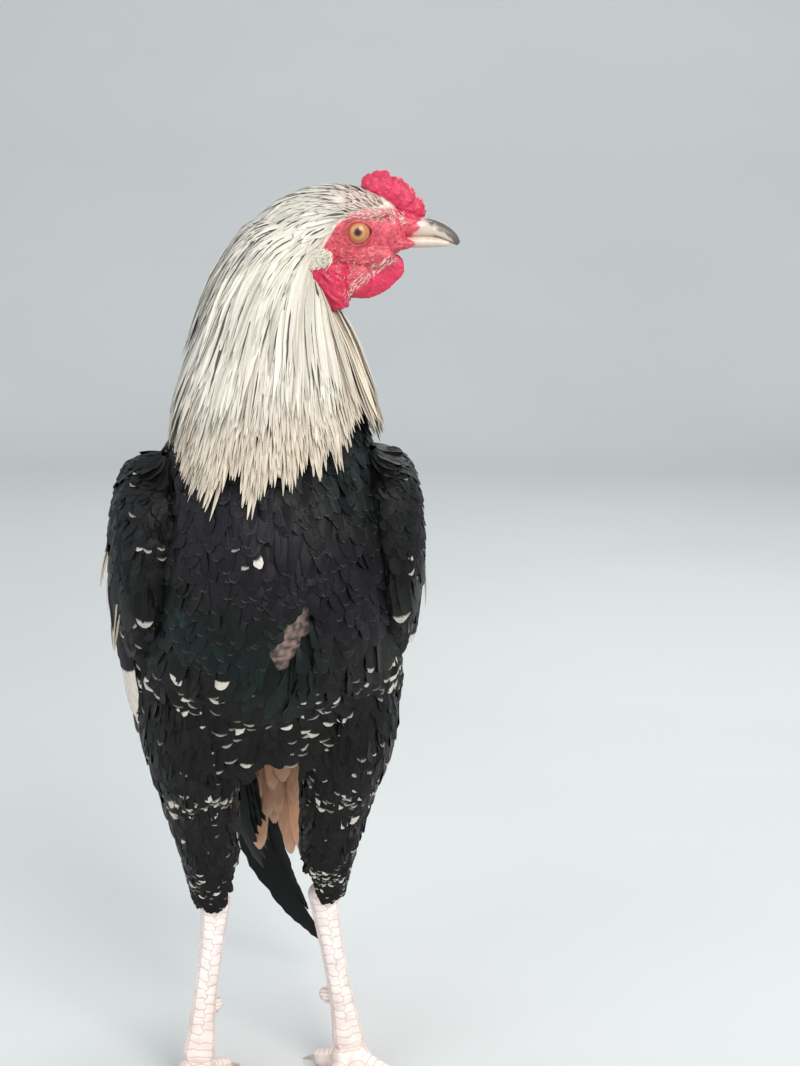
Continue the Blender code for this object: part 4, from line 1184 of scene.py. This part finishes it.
keep = clear_of(sheets, on_keel_skin) & (place < 0.66 - 0.15 * hump(spots[:, 0], 0, 0.034))
belly_coat.take(sheets, root, shades(count, COAL, 0.25), marks(count, 0.0, tip), keep)
# A few broad crescent-tipped feathers lie on top of the others.
place, angle = scattered(130, 0.02, 0.52, pi / 2 - 1.7, pi / 2 + 1.7)
count = len(place)
swing = draw.normal(0, 0.12, count)
broad = {"roll": 0.2, "rows": 12, "columns": 5, "uv": (0.0, 0.45)}
sheets, root = plumage(BELLY, place, angle, 0.038, 0.0075, 0.0062, ROUND, swing=swing, **broad)
keep = clear_of(sheets, on_keel_skin)
tip = 0.3 + draw.exponential(0.35, count)
belly_coat.take(sheets, root, shades(count, COAL, 0.2), marks(count, 0.0, tip), keep)
belly_coat.made("coat_belly", black_finish, "black_feather")


# The thighs: shorter black feathers down to the hock, with a white-laced band at the top and a
# speckled fringe at the hock.
for word, side in (("left", 1), ("right", -1)):
    thigh_coat = Coat()
    place, angle = scattered(2600, -0.04, 0.935, 0.0, tau)
    count = len(place)
    reach = np.interp(place, (0, 0.7, 0.95), (0.034, 0.026, 0.020))
    width = np.interp(place, (0, 0.6, 0.95), (0.0062, 0.0048, 0.0032))
    lift = 0.0034 + 0.0014 * draw.random(count)
    own = {"swing": draw.normal(0, 0.09, count), "roll": 0.22, "rows": 8, "sink": 0.003}
    sheets, root = plumage(THIGHS[side], place, angle, reach, width, lift, ROUND, **own)
    spots = THIGHS[side].surface(place, angle)[0]
    band = 0.62 * hump(spots[:, 2], 0.275, 0.014) + 0.35 * hump(spots[:, 2], 0.176, 0.022)
    band = band * np.clip(0.8 + 1.1 * ripple(spots, 0.030, 34), 0.15, 2.0)
    tip = np.where(draw.random(count) < 0.05 + band, 0.3 + draw.exponential(0.35, count), 0.0)
    # The inner side of the hock is bare.
    keep = place < 0.935 - 0.24 * smoothed(-np.cos(side * angle + 0.2), 0.38, 0.86)
    thigh_coat.take(sheets, root, shades(count, COAL, 0.25), marks(count, 0.0, tip), keep)
    thigh_coat.made(f"coat_thigh_{word}", black_finish, "black_feather", f"thigh_{word}")


# The wings: folded against the body, small coverts at the shoulder, then two longer rows, over the
# secondaries, with the primaries below them. Some feathers are straw-coloured or have white tips.
SOOT = (0.0054, 0.0054, 0.0058)
for word, side in (("left", 1), ("right", -1)):
    wing_coat = Coat()
    wing = WINGS[side]
    # Each tier: number, places, angles, reach, half width, lift, shape, rows, columns, and how many
    # of its feathers have a pale tip.
    tiers = (
        (9, (0.62, 0.70), (0.15, 1.15), 0.104, 0.0080, 0.0022, BLADE, 16, 7, 0.30),
        (13, (0.42, 0.50), (-1.20, 0.35), 0.108, 0.0095, 0.0036, BLADE, 14, 7, 0.30),
        (22, (0.30, 0.36), (-1.6, 1.7), 0.062, 0.0085, 0.0052, ROUND, 11, 5, 0.12),
        (30, (0.16, 0.24), (-1.9, 1.9), 0.048, 0.0074, 0.0062, ROUND, 10, 5, 0.12),
    )
    for number, (first, last), (low, high), *form, shape, rows, columns, pale in tiers:
        reach, half_width, lift = form
        order = np.linspace(0, 1, number)
        angle = side * (low + (high - low) * order)
        place = first + (last - first) * order + draw.normal(0, 0.012, number)
        length = reach * (1 + 0.07 * draw.normal(size=number))
        rise = lift + 0.0007 * np.mod(np.arange(number), 3)
        own = {"roll": 0.10, "camber": 0.08, "rows": rows, "columns": columns}
        sheets, root = plumage(wing, place, angle, length, half_width, rise, shape, **own)
        tip = np.where(draw.random(number) < pale, 0.8, 0.0)
        wing_coat.take(sheets, root, shades(number, SOOT, 0.25), marks(number, 0.0, tip))
    for number, (first, last), (low, high), length, half_width, lift, pale in (
        (900, (-0.06, 0.34), (-pi, pi), 0.026, 0.0054, 0.0050, 0.04),
        (820, (0.30, 1.04), (0.45, 2.7), 0.028, 0.0054, 0.0045, 0.08),
    ):
        place, angle = scattered(number, first, last, low, high)
        rise = lift + 0.0020 * draw.random(number)
        own = {"swing": draw.normal(0, 0.12, number), "roll": 0.2, "rows": 8}
        sheets, root = plumage(wing, place, side * angle, length, half_width, rise, ROUND, **own)
        tip = np.where(draw.random(number) < pale, draw.uniform(0.3, 0.9, number), 0)
        tints = shades(number, (0.0056, 0.0055, 0.0056), 0.28)
        wing_coat.take(sheets, root, tints, marks(number, 0.0, tip))
    # Narrow straw-coloured feathers lie along the outer edge, more of them on the right wing.
    number = 13 if side < 0 else 5
    place = np.linspace(0.26, 0.66, number) + draw.normal(0, 0.02, number)
    angle = side * draw.uniform(-0.45, 0.80, number)
    length = 0.055 + 0.012 * draw.random(number)
    own = {"swing": side * 0.12, "roll": 0.3, "rows": 10}
    sheets, root = plumage(wing, place, angle, length, 0.0025, 0.0120, LANCE, **own)
    straw = shades(number, (0.44, 0.365, 0.27), 0.35)
    wing_coat.take(sheets, root, straw, marks(number, draw.uniform(0.2, 0.6, number)))
    # The longest primaries hang free below the fold; the right wing's last one is white.
    length, white_end = 0.048, (0.0, 0.8, 0.0, 0.5, 0.0, 1.2)
    if word == "right":
        length, white_end = 0.090, (0.0, 0.5, 0.0, 0.3, 1.5, 3.8)
    number = len(white_end)
    place, angle = np.linspace(0.32, 0.46, number), side * np.linspace(-0.45, 0.30, number)
    start, normal = wing.surface(place, angle, 0.0045)
    lengths = length * (1 + 0.07 * draw.normal(size=number))
    path = lengths[:, None, None] * down_feather(16)[None, :, None]
    path = start[:, None] + path * unit(np.array((-side * 0.12, 0.0, -1.0)))
    facing = np.broadcast_to(unit(normal + (0.0, -1.3, 0.0))[:, None], path.shape)
    roll = draw.normal(0, 0.15, number)
    sheets = vanes(path, facing, np.full(number, 0.0072), BLADE, roll, 0.14, 7)
    tints = shades(number, SOOT, 0.2)
    wing_coat.take(sheets, on_unwrap(place, angle), tints, marks(number, 0.0, white_end))
    wing_coat.made(f"coat_wing_{word}", black_finish, "black_feather", f"wing_{word}")


# The tail: stiff quill feathers in two overlapping fans, lesser sickles beside them and two long
# curved sickles, all hanging steeply.
def bent_path(start, first_way, last_way, length, rows):
    """A path of that length whose heading turns evenly from first_way to last_way."""
    share = down_feather(rows)[:, None]
    ways = unit((1 - share) * np.asarray(first_way, float) + share * np.asarray(last_way, float))
    steps = (ways[1:] + ways[:-1]) / 2 * length * np.diff(share, axis=0)
    return np.vstack([start, start + np.cumsum(steps, axis=0)])


RIGHT_SICKLE = (
    (-0.003, 0.114, 0.262),
    (-0.008, 0.136, 0.215),
    (-0.010, 0.145, 0.165),
    (0.006, 0.148, 0.112),
    (0.030, 0.147, 0.068),
    (0.061, 0.143, 0.028),
)
LEFT_SICKLE = (
    (0.004, 0.116, 0.264),
    (0.008, 0.141, 0.218),
    (0.010, 0.152, 0.168),
    (0.017, 0.156, 0.120),
    (0.029, 0.155, 0.086),
    (0.044, 0.151, 0.060),
)
tail_coat = Coat()
rows = 24
back = np.array((0.0, 1.0, 0.25))


def tail_feather(path, facing, half_width, shape, columns=9):
    """One stiff vane along the path, its face turned that way."""
    normal = np.broadcast_to(unit(facing), path.shape)
    sheet = vanes(path[None], normal[None], np.array([half_width]), shape, np.zeros(1), 0.16, columns)
    root = np.array([[0.7 + 1.5 * path[0, 0], 0.7 + 1.5 * (path[0, 2] - 0.25)]])
    # The greenish cast of the tail's black is painted sheen.
    tail_coat.take(sheet, root, shades(1, (0.0046, 0.0062, 0.0060), 0.15), marks(1))


for side in (1, -1):
    for pair in range(7):
        out = side * (0.35 + pair) / 7
        start = (0.016 * out, 0.112 - 0.0032 * pair, 0.262 - 0.0021 * pair)
        length = 0.142 * (1 - 0.035 * pair)
        path = bent_path(start, (0.42 * out, 0.52, -0.80), (0.10 * out, 0.10, -1.0), length, rows)
        tail_feather(path, back + (0.9 * out, 0, 0), 0.0098, BLADE)
    for order in range(6):
        out = side * (0.5 + order) / 6
        start = (0.017 * out, 0.117 - 0.002 * order, 0.268 + 0.001 * order)
        last_way = (0.12 * out + 0.20, 0.02, -1.0)
        path = bent_path(start, (0.62 * out, 0.72, -0.60), last_way, 0.152 - 0.009 * order, rows)
        tail_feather(path, back + (1.1 * out, 0, 0.2), 0.0072, LANCE)
for side, keys in ((-1, RIGHT_SICKLE), (1, LEFT_SICKLE)):
    tail_feather(curve(keys, down_feather(40)), back + (0.55 * side, 0, 0), 0.0132, LANCE, 11)
# Four narrow ones hang in front of the undertail coverts, at the bird's right.
for order in range(4):
    start = (-0.022 + 0.003 * order, 0.058 + 0.002 * order, 0.264)
    path = bent_path(start, (-0.04, 0.12, -1.0), (0.42, 0.62, -1.0), 0.158 - 0.009 * order, rows)
    tail_feather(path, (-0.5, -1.0, 0.0), 0.0080, LANCE, 7)
place, angle = scattered(420, -0.5, 0.9, 0.0, tau)
count = len(place)
lift = 0.0050 + 0.002 * draw.random(count)
sheets, root = plumage(TAIL_ROOT, place, angle, 0.040, 0.0060, lift, ROUND, rows=6, columns=5)
tail_coat.take(sheets, root, shades(count, (0.0056, 0.0056, 0.0060), 0.25), marks(count))
tail_coat.made("coat_tail", black_finish, "black_feather", "tail")


# The undertail coverts: three rows of soft, buff, round-ended feathers under the root of the tail,
# which hang down and show between the legs.
buff_finish = feather_finish(
    "undertail", 0.6, dark=0.55, streak_colour=(0.20, 0.100, 0.055), tip_colour=(0.66, 0.48, 0.35),
    tip_start=0.90, sharpness=16, shine=0.3, short=1.0,
)
undertail = Coat()
for low, (number, top, drop) in enumerate(((11, 0.268, 0.118), (10, 0.280, 0.096), (9, 0.290, 0.072))):
    paths = []
    for across in np.linspace(-0.027, 0.030, number) + draw.normal(0, 0.0012, number):
        start = (across * 0.85, 0.086 - 0.006 * low - 6 * across**2, top)
        first_way, last_way = (10 * across, 0.10, -1.0), (4 * across, 0.0, -1.0)
        paths.append(bent_path(start, first_way, last_way, drop * (1 + 6 * across), 12))
    uneven = draw.normal(size=(number, 1, 1))
    paths = np.array(paths) + (0, 0, 0.008) * uneven * down_feather(12)[:, None]
    facing = np.broadcast_to((0.0, -1.0, 0.1), paths.shape)
    roll = draw.normal(0, 0.22, number)
    sheets = vanes(paths, facing, np.full(number, 0.0078), ROUND, roll, 0.22, 7)
    root = np.stack([0.60 + 2 * paths[:, 0, 0], np.full(number, 0.93 + 0.02 * low)], axis=-1)
    own = marks(number, draw.uniform(0.0, 0.3, number), 0.4)
    undertail.take(sheets, root, shades(number, (0.58, 0.31, 0.185), 0.18), own)
undertail.made("undertail_coverts", buff_finish, "pale_feather")


# The hackle: a deep cape of long pointed cream feathers from the crown to the shoulders, many with a
# black streak along the shaft. It parts at the throat, where the black breast shows.
hackle_finish = feather_finish(
    "hackle", 0.62, dark=0.66, streak_colour=(0.065, 0.058, 0.052), tip_colour=(0.60, 0.50, 0.38),
    tip_start=0.80, sharpness=14, shine=0.4, short=0.35,
)
hackle = Coat()
THROAT = -0.61
HEM_PLACES = (0.26, 0.20, 0.02, -0.06, -0.14, -0.18, -0.21)
HEM_ANGLES = (0.0, 0.08, 0.40, 0.92, 1.6, 2.2, 2.84)
LOCKS = 52
count = 7200
place, angle = scattered(count, 0.0, 1.0, 0.0, tau)
# Neighbouring feathers cling together in locks, whose tips draw in and whose lengths differ.
level = np.floor(place * 7).astype(int)
lock = np.floor(angle / tau * LOCKS + 0.37 * level).astype(int)
middle = (lock + 0.5 - 0.37 * level) * tau / LOCKS
uneven = draw.normal(size=(8, LOCKS + 8))[level, lock]
turn = np.mod(angle - THROAT + pi, tau) - pi
from_throat = np.abs(turn)
hem = np.interp(from_throat, HEM_ANGLES, HEM_PLACES)
hem = hem + 0.048 * uneven + 0.016 * draw.normal(size=count)
share = place
ends = hem + (0.86 - hem) * share**1.15
reach = np.interp(share, (0, 0.5, 1), (0.082, 0.064, 0.036))
reach = reach * (1 + 0.08 * uneven + 0.06 * draw.normal(size=count))
roots = np.minimum(ends + reach / NECK.length, 1.04)
reach = (roots - ends) * NECK.length
lift = np.interp(share, (0, 0.4, 0.8, 1), (0.0215, 0.0205, 0.0110, 0.0060))
LIFT_ANGLES = (-2.9, -1.9, -0.9, -0.1, 0.35, 1.1, 2.2, 2.9)
round_neck = np.interp(turn, LIFT_ANGLES, (0.90, 1.05, 0.85, 0.60, 0.80, 0.90, 1.0, 0.90))
lift = lift * round_neck + 0.002 * draw.random(count)
lift = lift + 0.0010 * uneven * np.sin(pi * share)
swing = np.sign(turn) * np.sin(from_throat) * np.interp(share, (0, 1), (0.10, 0.34))
swing = swing + np.interp(share, (0, 0.5), (0.80, 0.50)) * (middle - angle)
swing = swing + draw.normal(0, 0.04, count)
half_width = np.interp(share, (0, 1), (0.0031, 0.0021)) * (1 + 0.15 * draw.normal(size=count))
sheets, root = plumage(
    NECK, roots, angle, -reach, half_width, lift, LANCE,
    swing=swing, roll=0.30, camber=0.25, rows=8, uv=(0.0, 0.5),
)
keep = clear_of(sheets, on_face_or_ear)
nape = 0.6 * smoothed(share, 0.55, 0.95) * smoothed(from_throat, 0.9, 1.8)
nape = np.maximum(smoothed(from_throat, 1.5, 2.6), nape)
often = 0.28 + 0.40 * nape + 0.25 * smoothed(share, 0.8, 0.95) + 0.14 * (share < 0.25)
streak = np.where(draw.random(count) < often, draw.uniform(0.20, 0.65, count), 0.0)
cream = shades(count, (0.62, 0.570, 0.480), 0.13) - nape[:, None] * np.array((0.15, 0.13, 0.09))
# The lowest feathers are tawny.
low = 1 - smoothed(share, 0.0, 0.40)[:, None]
cream = cream * (1 - low * (0.12, 0.18, 0.25))
own = marks(count, streak, np.where(share < 0.3, 0.6 * draw.random(count), 0.0))
hackle.take(sheets, root, cream, own, keep)
hackle.made("hackle", hackle_finish, "pale_feather", "neck")

# The hood: short white feathers with black flecks over the crown, nape and sides of the head, shorter
# and pinker towards the bare face.
white_finish = feather_finish(
    "white_bristle", 0.7, dark=0.7, streak_colour=(0.08, 0.075, 0.07), tip_colour=(0.7, 0.6, 0.5),
    tip_start=0.8, sharpness=14, shine=0.4, short=1.3,
)
hood = Coat()
place, angle = scattered(2600, 0.22, 0.97, -pi, pi)
spots = HOOD.surface(place, angle)[0]
zones = np.max(bare_zones(spots), axis=0)
ahead, right, up = from_head(spots)
throat = (np.sin(angle) > 0.35) & (place > 0.35)
keep = (zones < 0.4) & ~throat
place, angle, spots, ahead, up = place[keep], angle[keep], spots[keep], ahead[keep], up[keep]
count = len(place)
reach = np.interp(ahead, (-0.045, -0.02, 0.015), (0.034, 0.020, 0.008))
reach = reach * (1 + 0.1 * draw.normal(size=count))
reach = np.minimum(reach, (place - 0.03) * HOOD.length)
half_width = np.interp(ahead, (-0.045, -0.01, 0.015), (0.0032, 0.0021, 0.0012))
lift = np.interp(ahead, (-0.045, -0.01, 0.015), (0.0060, 0.0030, 0.0014))
lift = lift + 0.0008 * draw.random(count)
own = {"swing": draw.normal(0, 0.06, count), "roll": 0.2, "sink": 0.003, "uv": (0.5, 0.5)}
sheets, root = plumage(HOOD, place, angle, -reach, half_width, lift, LANCE, **own)
crown = smoothed(up, 0.008, 0.016)
fleck = np.where(draw.random(count) < 0.32 + 0.14 * crown, draw.uniform(0.30, 0.75, count), 0.0)
white = shades(count, (0.64, 0.600, 0.515), 0.12) * (1 - 0.22 * crown)[:, None]
pink = smoothed(ahead, -0.012, 0.010)[:, None]
white = white + pink * 0.5 * (np.array((0.72, 0.48, 0.42)) - white)
keep = clear_of(sheets, on_face_or_ear)
hood.take(sheets, root, white, marks(count, fleck), keep)


def bristles(coat, chosen, way, length, half_width, rise, colour, spread=0.25):
    """Hair-like feathers from those points of the bare skin that point along way and lift by rise."""
    start, normal = bare_points[chosen], bare_normals[chosen]
    count = len(start)
    own = unit(np.asarray(way) + spread * draw.normal(size=(count, 3)))
    own = unit(own - (own * normal).sum(-1, keepdims=True) * normal)
    t = down_feather(4)[None, :, None]
    size = (length * (1 + 0.2 * draw.normal(size=count)))[:, None, None]
    spine = start[:, None] + size * t * own[:, None] + (rise * t**0.8 - 0.0004) * normal[:, None]
    facing = np.broadcast_to(normal[:, None], spine.shape)
    roll = draw.normal(0, 0.3, count)
    sheets = vanes(spine, facing, np.full(count, half_width), BRISTLE, roll, 0.2, 3)
    ahead, right, up = from_head(start)
    root = np.stack([0.75 + 2.0 * ahead, 0.75 + 2.0 * up + 0.1 * (right > 0)], axis=-1)
    coat.take(sheets, root, shades(count, colour, 0.10), marks(count))


ahead, right, up = from_head(bare_points)
everywhere = np.arange(len(bare_points))
jaw = np.interp(ahead, (-0.010, 0.004, 0.020, 0.030), (-0.0400, -0.0275, -0.0165, -0.0125))
along_jaw = (np.abs(up - jaw) < 0.0036) & (ahead > -0.009) & (ahead < 0.024) & (np.abs(right) > 0.004)
brow = (np.abs(up - 0.0112 + 0.12 * ahead) < 0.0036) & (ahead > -0.012) & (ahead < 0.030)
cheek = (ahead < 0.010) & (ahead > -0.020) & (up < -0.009) & (up > -0.030) & (np.abs(right) > 0.010)
shore = np.max(bare_zones(bare_points), axis=0)
shore = (shore > 0.30) & (shore < 0.95) & (ahead < 0.004) & (up > -0.018) & (up < 0.012)
for wanted, number, way, length, wide in (
    (shore, 520, -AHEAD - 0.10 * UP, 0.0048, 0.00034),
    (along_jaw, 900, -AHEAD - 0.75 * UP, 0.0046, 0.00030),
    (brow, 900, -AHEAD + 0.15 * UP, 0.0046, 0.00034),
    (cheek, 380, -AHEAD - 0.5 * UP, 0.0030, 0.00020),
):
    chosen = draw.choice(everywhere[wanted], min(number, wanted.sum()), replace=False)
    bristles(hood, chosen, way, length, wide, 0.0007, (0.72, 0.47, 0.42))
for side in (1, -1):
    # The ear: a round tuft of soft white bristles that lie back over its opening.
    near = np.hypot((ahead + 0.0228) / 1.1, up + 0.0155) < 0.0058
    chosen = draw.choice(everywhere[near & (np.sign(right) == side)], 330, replace=False)
    bristles(hood, chosen, -AHEAD - 0.35 * UP, 0.0060, 0.00050, 0.0016, (0.74, 0.70, 0.60), 0.18)
hood.made("hood", white_finish, "pale_feather", "ear_left", "ear_right")
